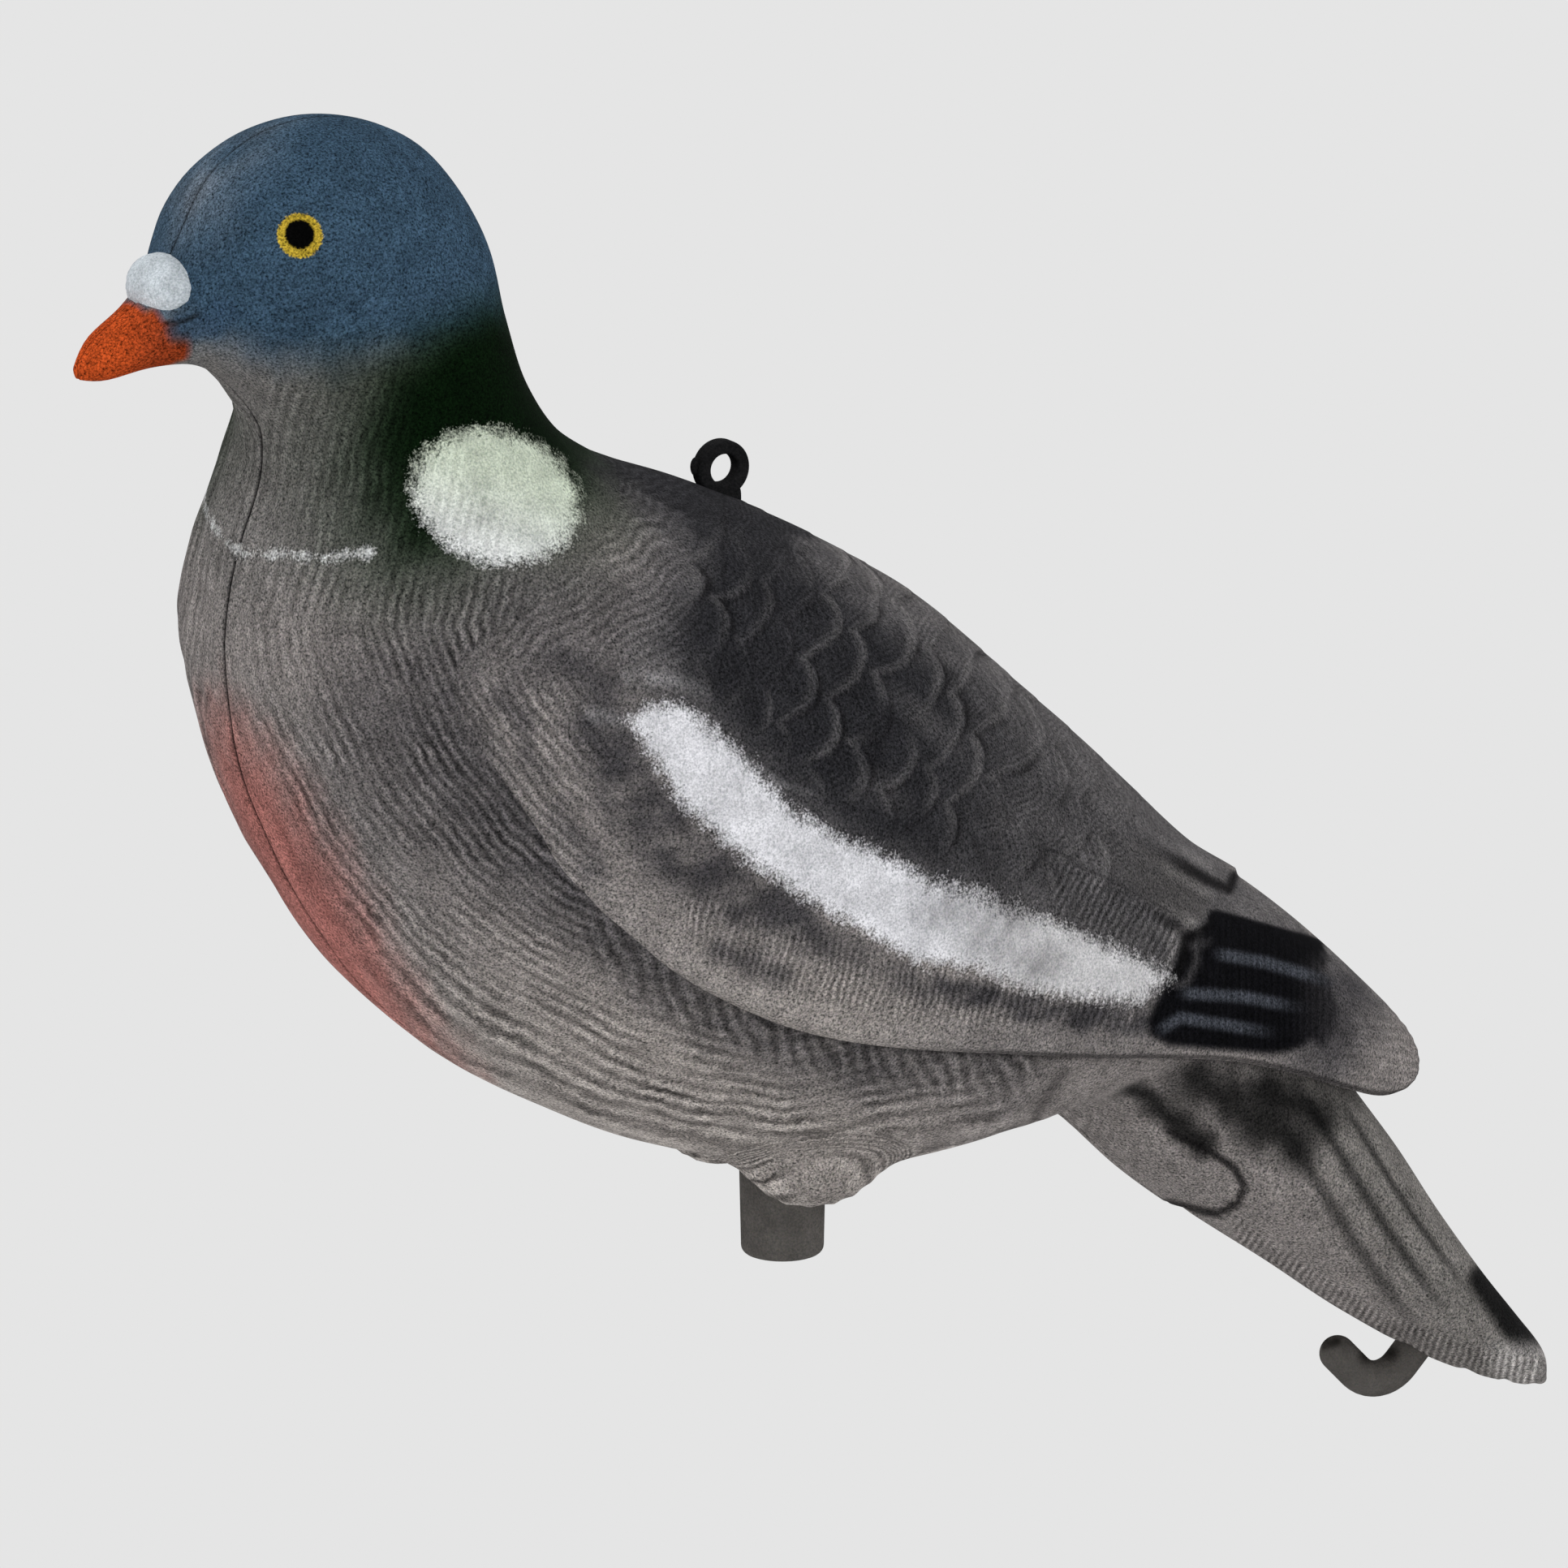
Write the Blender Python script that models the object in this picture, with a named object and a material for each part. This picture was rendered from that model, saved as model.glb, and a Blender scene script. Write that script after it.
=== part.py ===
"""Full-body woodpigeon field decoy: two moulded half shells joined down the middle plane,
a stake socket under the belly, a hanging eye on the back and a hook under the tail.

World axes: the bird looks towards -X, its left side is -Y and +Z is up.
The origin is the centre of the socket's mouth.  Sizes are in millimetres, and each mesh is
scaled to metres when it is made.
"""
import math
from collections import namedtuple

import bmesh
import bpy
from mathutils import Matrix, Vector

MM = 0.001

# ---- driving dimensions, in millimetres ----
WALL = 2.0                  # thickness of the moulded shells
SEAM_GAP = 0.3              # joint line between the left and the right shell
FIT_GAP = 0.3               # clearance round each insert that the shells trap
BOSS_WALL = 3.0             # material round a pocket inside the shells

SOCKET_MOUTH_RADIUS = 8.3
SOCKET_ROOT_RADIUS = 8.7
SOCKET_BORE_RADIUS = 5.0
SOCKET_BORE_DEPTH = 54.0
SOCKET_END_WALL = 4.0       # closed end above the bore
SOCKET_EDGE = 1.2           # rounding of the mouth's outer edge
SOCKET_LEAD_IN = 0.8        # chamfer at the mouth of the bore
SOCKET_COLLAR_RADIUS = 12.5
SOCKET_COLLAR_THICKNESS = 3.0
SOCKET_COLLAR_RISE = 12.0   # height of the collar above the outside of the belly

EYE_X = -14.0               # place of the hanging eye along the back
EYE_OUTER_RADIUS = 5.7
EYE_HOLE_RADIUS = 3.1
EYE_THICKNESS = 3.4
EYE_EDGE = 0.7              # rounding of the ring's edges
EYE_SINK = 0.6              # depth that the ring is let into the back
EYE_FOOT_WIDTH = 7.6
EYE_ANCHOR_WIDTH = 14.0
EYE_ANCHOR_HEIGHT = 3.0
EYE_ANCHOR_DEPTH = 8.0      # top of the anchor bar below the back

HOOK_X = 149.2              # where the stem leaves the underside of the tail
HOOK_ROD_RADIUS = 3.5
HOOK_STEM_LENGTH = 11.7     # from the tail's underside to the elbow
HOOK_STEM_ANGLE = 46.0      # degrees below level, pointing forward
HOOK_ARM_LENGTH = 14.5      # from the elbow to the middle of the rounded tip
HOOK_ARM_ANGLE = 46.0       # degrees above level, pointing forward
HOOK_BEND = 5.0             # length of each leg that the bend takes up
HOOK_ROOT_DEPTH = 9.0       # how far the stem goes into the tail
HOOK_HEAD_RADIUS = 5.0
HOOK_HEAD_THICKNESS = 3.0

PEG_RADIUS = 1.8
PEG_LENGTH = 5.0
PEG_ROOT = 2.5              # length of a peg inside its own boss
PEG_BOSS_RADIUS = 4.2
PEG_BOSS_LENGTH = 9.0
PEG_INSET = 5.5             # centre of a peg below the outline of the shells

WING_TIP_THICKNESS = 3.6    # blades that stand free over the tail
WING_NOTCH_START = 121.0    # where the two wing tips part
WING_NOTCH_WIDTH = 11.0     # opening between the tips at their ends
COVERT_RISE = 1.3           # step from the coverts and tertials down to the primaries
UNDERTAIL_RISE = 1.4        # step from the undertail coverts down to the tail feathers

CERE_RADII = (6.7, 6.6, 6.0)
CERE_CENTRE = (-136.9, 0.0, 214.3)
THIGH_RADII = (14.3, 11.0, 8.6)
THIGH_CENTRE = (-3.0, 17.5, 23.6)

RINGS_PER_SECTION = 2
BODY_SIDES = 36
WING_SIDES = 32
CAVITY_SIDES = 20
ROUND_SIDES = 24

# ---- the bird's form ----
# One cross-section: its highest point on the back and its lowest on the belly side, both in
# the middle plane, its half width, and how square its upper and lower quarters are (2 = oval).
Section = namedtuple("Section", "back_x back_z belly_x belly_z half_width upper lower")

BODY = [
    Section(-156.2, 201.0, -155.8, 197.8, 1.5, 2, 2),       # bill tip
    Section(-152.0, 206.2, -150.5, 197.3, 5.5, 2, 2),
    Section(-144.0, 211.3, -141.5, 198.8, 8.5, 2, 2),
    Section(-138.0, 216.6, -133.5, 198.8, 12.5, 2, 2),      # bill base
    Section(-133.0, 225.8, -127.5, 196.5, 18.5, 2, 2),
    Section(-129.8, 231.8, -123.6, 193.2, 21.5, 2, 2),
    Section(-124.2, 237.6, -120.5, 189.7, 23.5, 2, 2),      # forehead and chin
    Section(-115.3, 242.2, -118.3, 186.2, 25.0, 2, 2),
    Section(-104.0, 243.9, -116.5, 182.7, 26.0, 2, 2),      # crown
    Section(-93.0, 242.0, -116.3, 178.2, 26.5, 2, 2),
    Section(-83.0, 236.7, -116.9, 173.7, 27.0, 2, 2),
    Section(-75.8, 228.7, -118.6, 168.7, 28.5, 2, 2.1),     # nape and throat
    Section(-70.6, 218.4, -120.7, 163.2, 32.0, 2, 2.1),
    Section(-67.9, 205.9, -122.7, 156.2, 35.6, 2, 2.2),
    Section(-64.3, 192.0, -124.4, 147.7, 41.0, 2, 2.3),
    Section(-56.0, 179.4, -125.0, 136.2, 47.2, 2, 2.3),     # foot of the neck
    Section(-43.0, 170.0, -123.5, 123.2, 51.4, 2, 2.1),
    Section(-27.0, 162.4, -119.2, 108.4, 54.6, 2, 2.1),
    Section(-11.0, 155.4, -110.5, 90.7, 57.1, 2, 2.1),
    Section(5.5, 146.0, -96.1, 69.6, 58.9, 2, 2.1),         # breast and middle of the back
    Section(22.5, 133.8, -74.3, 50.0, 58.2, 2, 2),
    Section(40.5, 119.2, -46.6, 34.3, 55.4, 2, 2),
    Section(58.0, 102.7, -18.0, 23.3, 51.0, 2, 2),
    Section(75.0, 84.7, 11.0, 18.8, 44.5, 2, 2),            # belly
    Section(90.5, 68.2, 36.0, 20.7, 37.0, 2, 2),
    Section(104.0, 51.2, 56.0, 24.7, 30.5, 2, 2),           # vent
    Section(115.0, 36.7, 67.6, 17.6, 26.0, 2, 2),
    Section(127.8, 21.8, 81.2, 5.0, 23.5, 2, 2),            # root of the tail
    Section(140.8, 4.4, 97.6, -7.5, 22.0, 2, 2),
    Section(151.4, -11.2, 115.5, -20.0, 20.5, 2, 2),
    Section(161.8, -25.1, 133.0, -32.8, 19.0, 2, 2),
    Section(171.2, -37.2, 150.0, -43.8, 16.5, 2, 2),
    Section(177.9, -45.6, 164.5, -50.8, 12.5, 2, 2),
    Section(180.1, -51.8, 176.5, -55.0, 6.0, 2, 2),         # tail tip
]

# The folded wings and the mantle between them, laid over the body from the neck backwards.
WINGS = [
    Section(-60.0, 180.9, -125.0, 139.2, 43.0, 2, 2.3),
    Section(-50.0, 173.7, -124.5, 129.2, 50.0, 2, 2.3),
    Section(-37.0, 167.5, -122.3, 117.2, 55.5, 2, 2.2),     # bend of the wing
    Section(-23.0, 162.1, -118.0, 103.4, 59.3, 2, 2.2),
    Section(-7.0, 154.6, -107.7, 85.7, 61.6, 2, 2.1),
    Section(9.0, 145.6, -91.8, 66.8, 62.6, 2, 2.1),
    Section(25.4, 135.1, -70.4, 48.8, 62.2, 2, 2),
    Section(42.0, 120.6, -43.7, 34.1, 59.8, 2, 2),
    Section(58.6, 104.9, -16.0, 23.2, 55.6, 2, 2),
    Section(75.4, 88.0, 12.0, 17.2, 50.0, 2, 2),
    Section(91.0, 73.7, 36.0, 14.2, 43.8, 1.9, 2),
    Section(104.8, 64.4, 56.0, 10.7, 37.6, 1.8, 2),
    Section(115.6, 56.0, 74.0, 10.2, 32.6, 1.75, 2),
    Section(125.8, 47.1, 90.0, 9.7, 28.0, 1.7, 2),
    Section(134.4, 38.9, 105.0, 7.7, 23.6, 1.7, 2),
    Section(141.5, 32.0, 120.5, 6.2, 18.0, 1.7, 2),         # wing tips
    Section(146.4, 26.0, 133.5, 8.7, 14.0, 1.7, 2),
    Section(149.2, 20.8, 142.5, 10.7, 9.5, 1.7, 2),
]

# Side views (x, z).  The wing's edge runs from the bend down and back to the rounded tip.
WING_EDGE = [
    (-97.0, 153.2), (-101.0, 140.7), (-97.0, 127.8), (-90.0, 115.8), (-79.5, 100.2),
    (-68.5, 88.8), (-56.0, 78.2), (-43.0, 70.2), (-24.0, 61.6), (-5.0, 56.2), (21.5, 50.6),
    (43.0, 45.8), (63.0, 41.6), (84.0, 36.2), (103.0, 29.1), (118.6, 22.3), (129.5, 17.9),
    (136.8, 17.0), (142.0, 18.7), (145.2, 22.8), (145.0, 27.8), (141.7, 34.7),
]
WING_TOP = [(150.0, 70.0), (60.0, 190.0), (-70.0, 215.0)]
COVERT_EDGE = [
    (-10.0, 65.2), (20.0, 59.2), (42.0, 53.2), (55.0, 49.8), (62.0, 50.6), (66.0, 54.6),
    (72.0, 55.2), (77.0, 59.8), (84.0, 59.4), (88.6, 61.8), (90.0, 66.2), (97.0, 66.2),
    (101.0, 70.2),
]
COVERT_TOP = [(101.0, 95.0), (40.0, 160.0), (-10.0, 180.0)]
UNDERTAIL_EDGE = [
    (52.0, 33.2), (68.0, 25.2), (82.0, 16.7), (91.5, 8.7), (97.0, 1.2), (95.5, -4.3), (88.0, -6.8),
]
UNDERTAIL_BOTTOM = [(60.0, -14.0), (30.0, 5.0), (36.0, 24.0)]

NECK_FOOT = 16.0            # section where the back starts
CAVITY_FIRST = 5.0          # the hollow runs from the forehead section ...
CAVITY_LAST = 31.0          # ... to this one, short of the tail tip
COVERT_FIRST = 4.0          # wing section where the covert layer begins under the surface
COVERT_RAMP = (5.0, 8.5)    # wing sections over which it comes up
UNDERTAIL_FIRST = 22.0      # the same for the undertail coverts, in body sections
UNDERTAIL_RAMP = (23.5, 26.5)
WING_HOLLOW = (10.0, 17.0)  # wing sections that are hollow from below
SIDE_REACH = 90.0           # half width of a block cut to a side view
HALF_LOW = (-200.0, -100.0, -100.0)  # block that keeps the left side; its middle face is the seam
HALF_HIGH = (220.0, 280.0)  # its far end (x) and top (z)
# Locating pegs: body section, and whether the peg lies under the back or above the belly.
PEGS = [(8.0, "back"), (15.0, "back"), (22.0, "back"), (12.0, "belly"), (19.0, "belly")]


# ---- curves through the sections ----
def smooth_value(column, where):
    """Catmull-Rom value of a column of numbers at a fractional index."""
    last = len(column) - 1
    where = min(max(where, 0.0), last - 1e-9)
    index = int(where)
    part = where - index
    before = column[max(index - 1, 0)]
    start = column[index]
    end = column[index + 1]
    after = column[min(index + 2, last)]
    slope = end - before
    bend = 2 * before - 5 * start + 4 * end - after
    twist = 3 * start - before - 3 * end + after
    return 0.5 * (2 * start + slope * part + bend * part ** 2 + twist * part ** 3)


def section_at(sections, where):
    return Section(*(smooth_value([row[k] for row in sections], where) for k in range(7)))


def smooth_line(points, steps):
    """Points of a smooth line through hand-set points."""
    count = (len(points) - 1) * steps
    xs = [p[0] for p in points]
    zs = [p[1] for p in points]
    return [(smooth_value(xs, k / steps), smooth_value(zs, k / steps)) for k in range(count + 1)]


def outline_height(sections, side, x):
    """Height of the back or belly line at x, anywhere behind the neck."""
    low = NECK_FOOT if sections is BODY else 0.0
    high = len(sections) - 1.0
    for _ in range(40):
        middle = (low + high) / 2
        if getattr(section_at(sections, middle), side + "_x") < x:
            low = middle
        else:
            high = middle
    return getattr(section_at(sections, low), side + "_z")


def back_height():
    return outline_height(WINGS, "back", EYE_X)


def belly_height():
    return outline_height(BODY, "belly", 0.0)


def ring_points(section, sides, grow):
    """One closed cross-section, grown outwards by a distance in its own plane."""
    back = Vector((section.back_x, 0, section.back_z))
    belly = Vector((section.belly_x, 0, section.belly_z))
    axis = (back - belly).normalized()
    centre = (back + belly) / 2
    half_height = (back - belly).length / 2 + grow
    half_width = section.half_width + grow
    points = []
    for k in range(sides):
        angle = 2 * math.pi * k / sides
        power = 2 / (section.upper if math.cos(angle) >= 0 else section.lower)
        up = math.copysign(abs(math.cos(angle)) ** power, math.cos(angle))
        out = math.copysign(abs(math.sin(angle)) ** power, math.sin(angle))
        points.append(centre + axis * half_height * up + Vector((0, -half_width * out, 0)))
    return points


# ---- mesh helpers ----
def add_object(name, mesh):
    thing = bpy.data.objects.new(name, mesh)
    bpy.context.scene.collection.objects.link(thing)
    return thing


def mesh_object(name, build):
    """Object from a function that fills a bmesh in millimetres."""
    shape = bmesh.new()
    build(shape)
    bmesh.ops.recalc_face_normals(shape, faces=shape.faces)
    bmesh.ops.scale(shape, vec=(MM, MM, MM), verts=shape.verts)
    mesh = bpy.data.meshes.new(name)
    shape.to_mesh(mesh)
    shape.free()
    return add_object(name, mesh)


def skin_rings(shape, rings):
    """Skin a row of point rings and close both ends."""
    rows = [[shape.verts.new(point) for point in ring] for ring in rings]
    for near, far in zip(rows, rows[1:]):
        for k in range(len(near)):
            after = (k + 1) % len(near)
            shape.faces.new((near[k], near[after], far[after], far[k]))
    shape.faces.new(rows[0])
    shape.faces.new(rows[-1])


def loft(name, sections, sides, first=0.0, last=None, grow=0.0, ramp=None):
    """Loft through the sections; a ramp lets the growth come up from below the surface."""
    last = len(sections) - 1.0 if last is None else last
    steps = max(2, round((last - first) * RINGS_PER_SECTION))

    def build(shape):
        rings = []
        for k in range(steps + 1):
            where = first + (last - first) * k / steps
            share = 1.0
            if ramp:
                share = min(max((where - ramp[0]) / (ramp[1] - ramp[0]), 0.0), 1.0)
            lift = grow * share - (1.0 - share) * abs(grow) * 0.5
            rings.append(ring_points(section_at(sections, where), sides, lift))
        skin_rings(shape, rings)

    return mesh_object(name, build)


def side_block(name, outline, half_width=SIDE_REACH):
    """Side-view outline (x, z) pulled across the body."""
    def build(shape):
        rings = [[(x, y, z) for x, z in outline] for y in (-half_width, half_width)]
        skin_rings(shape, rings)

    return mesh_object(name, build)


def box(name, low, high):
    outline = [(low[0], low[2]), (high[0], low[2]), (high[0], high[2]), (low[0], high[2])]

    def build(shape):
        skin_rings(shape, [[(x, y, z) for x, z in outline] for y in (low[1], high[1])])

    return mesh_object(name, build)


def turned(name, profile, closed=False, sides=ROUND_SIDES):
    """Profile of (radius, height) turned about Z."""
    def build(shape):
        verts = [shape.verts.new((radius, 0, height)) for radius, height in profile]
        pairs = list(zip(verts, verts[1:]))
        if closed:
            pairs.append((verts[-1], verts[0]))
        edges = [shape.edges.new(pair) for pair in pairs]
        bmesh.ops.spin(shape, geom=verts + edges, cent=(0, 0, 0), axis=(0, 0, 1),
                       angle=2 * math.pi, steps=sides, use_merge=True)
        bmesh.ops.remove_doubles(shape, verts=shape.verts, dist=0.001)

    return mesh_object(name, build)


def cylinder(name, start, end, radius, sides=16):
    """Closed cylinder between two points."""
    start = Vector(start)
    along = Vector(end) - start
    thing = turned(name, [(0, 0), (radius, 0), (radius, along.length), (0, along.length)], sides=sides)
    turn = Vector((0, 0, 1)).rotation_difference(along).to_matrix().to_4x4()
    thing.data.transform(Matrix.Translation(start * MM) @ turn)
    return thing


def ellipsoid(name, centre, radii):
    def build(shape):
        bmesh.ops.create_uvsphere(shape, u_segments=20, v_segments=12, radius=1)
        bmesh.ops.scale(shape, vec=radii, verts=shape.verts)
        bmesh.ops.translate(shape, vec=centre, verts=shape.verts)

    return mesh_object(name, build)


def rod(name, path, radius, sides=14):
    """Round bar along a path in the middle plane, with a domed first end."""
    dome = 4

    def frame(k):
        along = (path[min(k + 1, len(path) - 1)] - path[max(k - 1, 0)]).normalized()
        return along, along.cross(Vector((0, 1, 0)))

    def ring(centre, across, size):
        turns = [2 * math.pi * k / sides for k in range(sides)]
        return [centre + across * size * math.cos(a) + Vector((0, size * math.sin(a), 0)) for a in turns]

    def build(shape):
        along, across = frame(0)
        rings = []
        for k in range(dome):
            tilt = math.pi / 2 * (k + 0.5) / dome
            rings.append(ring(path[0] - along * radius * math.cos(tilt), across, radius * math.sin(tilt)))
        for k, point in enumerate(path):
            rings.append(ring(point, frame(k)[1], radius))
        skin_rings(shape, rings)

    return mesh_object(name, build)


def combine(target, tool, operation):
    """Boolean of two closed bodies; the tool is used up."""
    step = target.modifiers.new(operation.lower(), "BOOLEAN")
    step.operation = operation
    step.object = tool
    step.solver = "EXACT"
    graph = bpy.context.evaluated_depsgraph_get()
    result = bpy.data.meshes.new_from_object(target.evaluated_get(graph))
    target.modifiers.clear()
    target.data = result
    bpy.data.objects.remove(tool)
    return target


def copy_of(thing, name):
    return add_object(name, thing.data.copy())


# ---- inserts: each solid is also the shape of its pocket when grown by the fit gap ----
def socket_solid(name, grow=0.0, with_bore=True):
    """Tube with a collar; its mouth is at the origin."""
    seat = belly_height() + SOCKET_COLLAR_RISE
    top = SOCKET_BORE_DEPTH + SOCKET_END_WALL + grow
    mouth = SOCKET_MOUTH_RADIUS + grow
    root = SOCKET_ROOT_RADIUS + grow
    collar = SOCKET_COLLAR_RADIUS + grow
    outside = [
        (mouth - SOCKET_EDGE, -grow), (mouth - 0.3 * SOCKET_EDGE, 0.3 * SOCKET_EDGE - grow),
        (mouth, SOCKET_EDGE - grow), (root, belly_height()), (root, seat - grow),
        (collar, seat - grow), (collar, seat + SOCKET_COLLAR_THICKNESS + grow),
        (root, seat + SOCKET_COLLAR_THICKNESS + grow), (root, top), (0, top),
    ]
    inside = [(0, -grow)]
    if with_bore:
        inside = [(0, SOCKET_BORE_DEPTH), (SOCKET_BORE_RADIUS, SOCKET_BORE_DEPTH),
                  (SOCKET_BORE_RADIUS, SOCKET_LEAD_IN), (SOCKET_BORE_RADIUS + SOCKET_LEAD_IN, 0)]
    return turned(name, inside + outside, sides=ROUND_SIDES)


def eye_centre():
    return Vector((EYE_X, 0, back_height() + EYE_OUTER_RADIUS - EYE_SINK))


def eye_ring(name, grow=0.0, with_hole=True):
    half = EYE_THICKNESS / 2 + grow
    outer = EYE_OUTER_RADIUS + grow
    if with_hole:
        inner = EYE_HOLE_RADIUS
        profile = [
            (inner, -half + EYE_EDGE), (inner + EYE_EDGE, -half), (outer - EYE_EDGE, -half),
            (outer, -half + EYE_EDGE), (outer, half - EYE_EDGE), (outer - EYE_EDGE, half),
            (inner + EYE_EDGE, half), (inner, half - EYE_EDGE),
        ]
    else:
        profile = [(0, -half), (outer, -half), (outer, half), (0, half)]
    ring = turned(name, profile, closed=with_hole)
    ring.data.transform(Matrix.Translation(eye_centre() * MM) @ Matrix.Rotation(math.pi / 2, 4, "X"))
    return ring


def eye_root(name, grow=0.0):
    """Foot under the ring and the anchor bar across its lower end."""
    centre = eye_centre()
    back = back_height()
    anchor_top = back - EYE_ANCHOR_DEPTH
    thick = EYE_THICKNESS / 2 + grow
    foot = EYE_FOOT_WIDTH / 2 + grow
    bar = EYE_ANCHOR_WIDTH / 2 + grow
    foot_top = centre.z - EYE_HOLE_RADIUS - EYE_EDGE
    root = box(name, (EYE_X - foot, -thick, anchor_top - 1), (EYE_X + foot, thick, foot_top))
    low = anchor_top - EYE_ANCHOR_HEIGHT - grow
    anchor = box("anchor", (EYE_X - bar, -thick, low), (EYE_X + bar, thick, anchor_top + grow))
    return combine(root, anchor, "UNION")


def hook_points():
    """Tip, elbow, mouth in the tail and root of the hook's centre line."""
    mouth = Vector((HOOK_X, 0, outline_height(BODY, "belly", HOOK_X)))
    slope = math.radians(HOOK_STEM_ANGLE)
    stem = Vector((-math.cos(slope), 0, -math.sin(slope)))
    rise = math.radians(HOOK_ARM_ANGLE)
    elbow = mouth + stem * HOOK_STEM_LENGTH
    tip = elbow + Vector((-math.cos(rise), 0, math.sin(rise))) * HOOK_ARM_LENGTH
    return tip, elbow, mouth, mouth - stem * HOOK_ROOT_DEPTH


def hook_path():
    """Two straight legs joined by a smooth bend."""
    tip, elbow, _, root = hook_points()
    start = elbow + (tip - elbow).normalized() * HOOK_BEND
    end = elbow + (root - elbow).normalized() * HOOK_BEND
    bend = []
    for k in range(9):
        part = k / 8
        bend.append(start * (1 - part) ** 2 + elbow * 2 * part * (1 - part) + end * part ** 2)
    return [tip] + bend + [root]


def hook_solid(name, grow=0.0):
    hook = rod(name, hook_path(), HOOK_ROD_RADIUS + grow)
    _, elbow, _, root = hook_points()
    stem = (root - elbow).normalized()
    low = root - stem * (HOOK_HEAD_THICKNESS + grow)
    head = cylinder("head", low, root + stem * (grow + 0.2), HOOK_HEAD_RADIUS + grow)
    return combine(hook, head, "UNION")


# ---- the moulded body ----
def wing_solid():
    """Wings and mantle: trimmed to the wing's side outline, parted and hollowed at the tips."""
    wings = loft("wings", WINGS, WING_SIDES)
    combine(wings, side_block("edge", smooth_line(WING_EDGE, 2) + WING_TOP), "INTERSECT")
    hollow = loft("hollow", WINGS, WING_SIDES, *WING_HOLLOW, grow=-WING_TIP_THICKNESS)
    combine(wings, hollow, "DIFFERENCE")
    end = max(x for x, _ in WING_EDGE) + 8
    spread = WING_NOTCH_WIDTH / 2

    def wedge(shape):
        plan = [(WING_NOTCH_START, 0), (end, -spread), (end, spread)]
        skin_rings(shape, [[(x, y, z) for x, y in plan] for z in (0, 70)])

    return combine(wings, mesh_object("notch", wedge), "DIFFERENCE")


def raised_layer(name, sections, sides, first, rise, ramp, outline):
    """A layer of feathers that stands above a loft inside a side-view outline."""
    layer = loft(name, sections, sides, first=first, grow=rise, ramp=ramp)
    return combine(layer, side_block("outline", outline), "INTERSECT")


def outside_form():
    body = loft("body", BODY, BODY_SIDES)
    combine(body, wing_solid(), "UNION")
    coverts = raised_layer("coverts", WINGS, WING_SIDES, COVERT_FIRST, COVERT_RISE, COVERT_RAMP,
                           smooth_line(COVERT_EDGE, 2) + COVERT_TOP)
    combine(body, coverts, "UNION")
    undertail = raised_layer("undertail", BODY, BODY_SIDES, UNDERTAIL_FIRST, UNDERTAIL_RISE, UNDERTAIL_RAMP,
                             smooth_line(UNDERTAIL_EDGE, 2) + UNDERTAIL_BOTTOM)
    combine(body, undertail, "UNION")
    combine(body, ellipsoid("cere", CERE_CENTRE, CERE_RADII), "UNION")
    for side in (-1, 1):
        centre = (THIGH_CENTRE[0], side * THIGH_CENTRE[1], THIGH_CENTRE[2])
        combine(body, ellipsoid("thigh", centre, THIGH_RADII), "UNION")
    return body


def peg_centre(where, side):
    """Centre of a locating peg in the middle plane."""
    section = section_at(BODY, where)
    back = Vector((section.back_x, 0, section.back_z))
    belly = Vector((section.belly_x, 0, section.belly_z))
    inwards = (belly - back).normalized() * PEG_INSET
    return back + inwards if side == "back" else belly - inwards


def cavity():
    """Hollow of the body with the bosses that carry the inserts and the pegs left standing."""
    hollow = loft("hollow", BODY, CAVITY_SIDES, CAVITY_FIRST, CAVITY_LAST, grow=-WALL)
    collar_top = belly_height() + SOCKET_COLLAR_RISE + SOCKET_COLLAR_THICKNESS
    boss = cylinder("boss", (0, 0, -1), (0, 0, collar_top + BOSS_WALL),
                    SOCKET_COLLAR_RADIUS + BOSS_WALL, sides=ROUND_SIDES)
    combine(hollow, boss, "DIFFERENCE")
    back = back_height()
    reach = EYE_ANCHOR_WIDTH / 2 + BOSS_WALL
    low = back - EYE_ANCHOR_DEPTH - EYE_ANCHOR_HEIGHT - BOSS_WALL
    side = EYE_THICKNESS / 2 + BOSS_WALL
    combine(hollow, box("boss", (EYE_X - reach, -side, low), (EYE_X + reach, side, back + 20)), "DIFFERENCE")
    _, elbow, mouth, root = hook_points()
    stem = (root - elbow).normalized()
    boss = cylinder("boss", mouth - stem * 4, root + stem * BOSS_WALL, HOOK_HEAD_RADIUS + BOSS_WALL)
    combine(hollow, boss, "DIFFERENCE")
    for where, edge in PEGS:
        centre = peg_centre(where, edge)
        across = Vector((0, PEG_BOSS_LENGTH, 0))
        combine(hollow, cylinder("boss", centre - across, centre + across, PEG_BOSS_RADIUS), "DIFFERENCE")
    return hollow


def left_half():
    """Left side of the moulding, cut half a seam gap from the middle plane and hollowed."""
    shell = outside_form()
    seam = -SEAM_GAP / 2
    combine(shell, box("half", HALF_LOW, (HALF_HIGH[0], seam, HALF_HIGH[1])), "INTERSECT")
    combine(shell, cavity(), "DIFFERENCE")
    combine(shell, socket_solid("pocket", FIT_GAP, with_bore=False), "DIFFERENCE")
    combine(shell, eye_ring("pocket", FIT_GAP, with_hole=False), "DIFFERENCE")
    combine(shell, eye_root("pocket", FIT_GAP), "DIFFERENCE")
    return combine(shell, hook_solid("pocket", FIT_GAP), "DIFFERENCE")


def mirrored_half(shell, name):
    """The other side of the moulding."""
    other = copy_of(shell, name)
    other.data.transform(Matrix.Scale(-1, 4, (0, 1, 0)))
    other.data.flip_normals()
    return other


def add_pegs(shell):
    for where, edge in PEGS:
        centre = peg_centre(where, edge)
        root = centre - Vector((0, PEG_ROOT, 0))
        end = centre + Vector((0, PEG_LENGTH, 0))
        combine(shell, cylinder("peg", root, end, PEG_RADIUS, sides=12), "UNION")
    return shell


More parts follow.
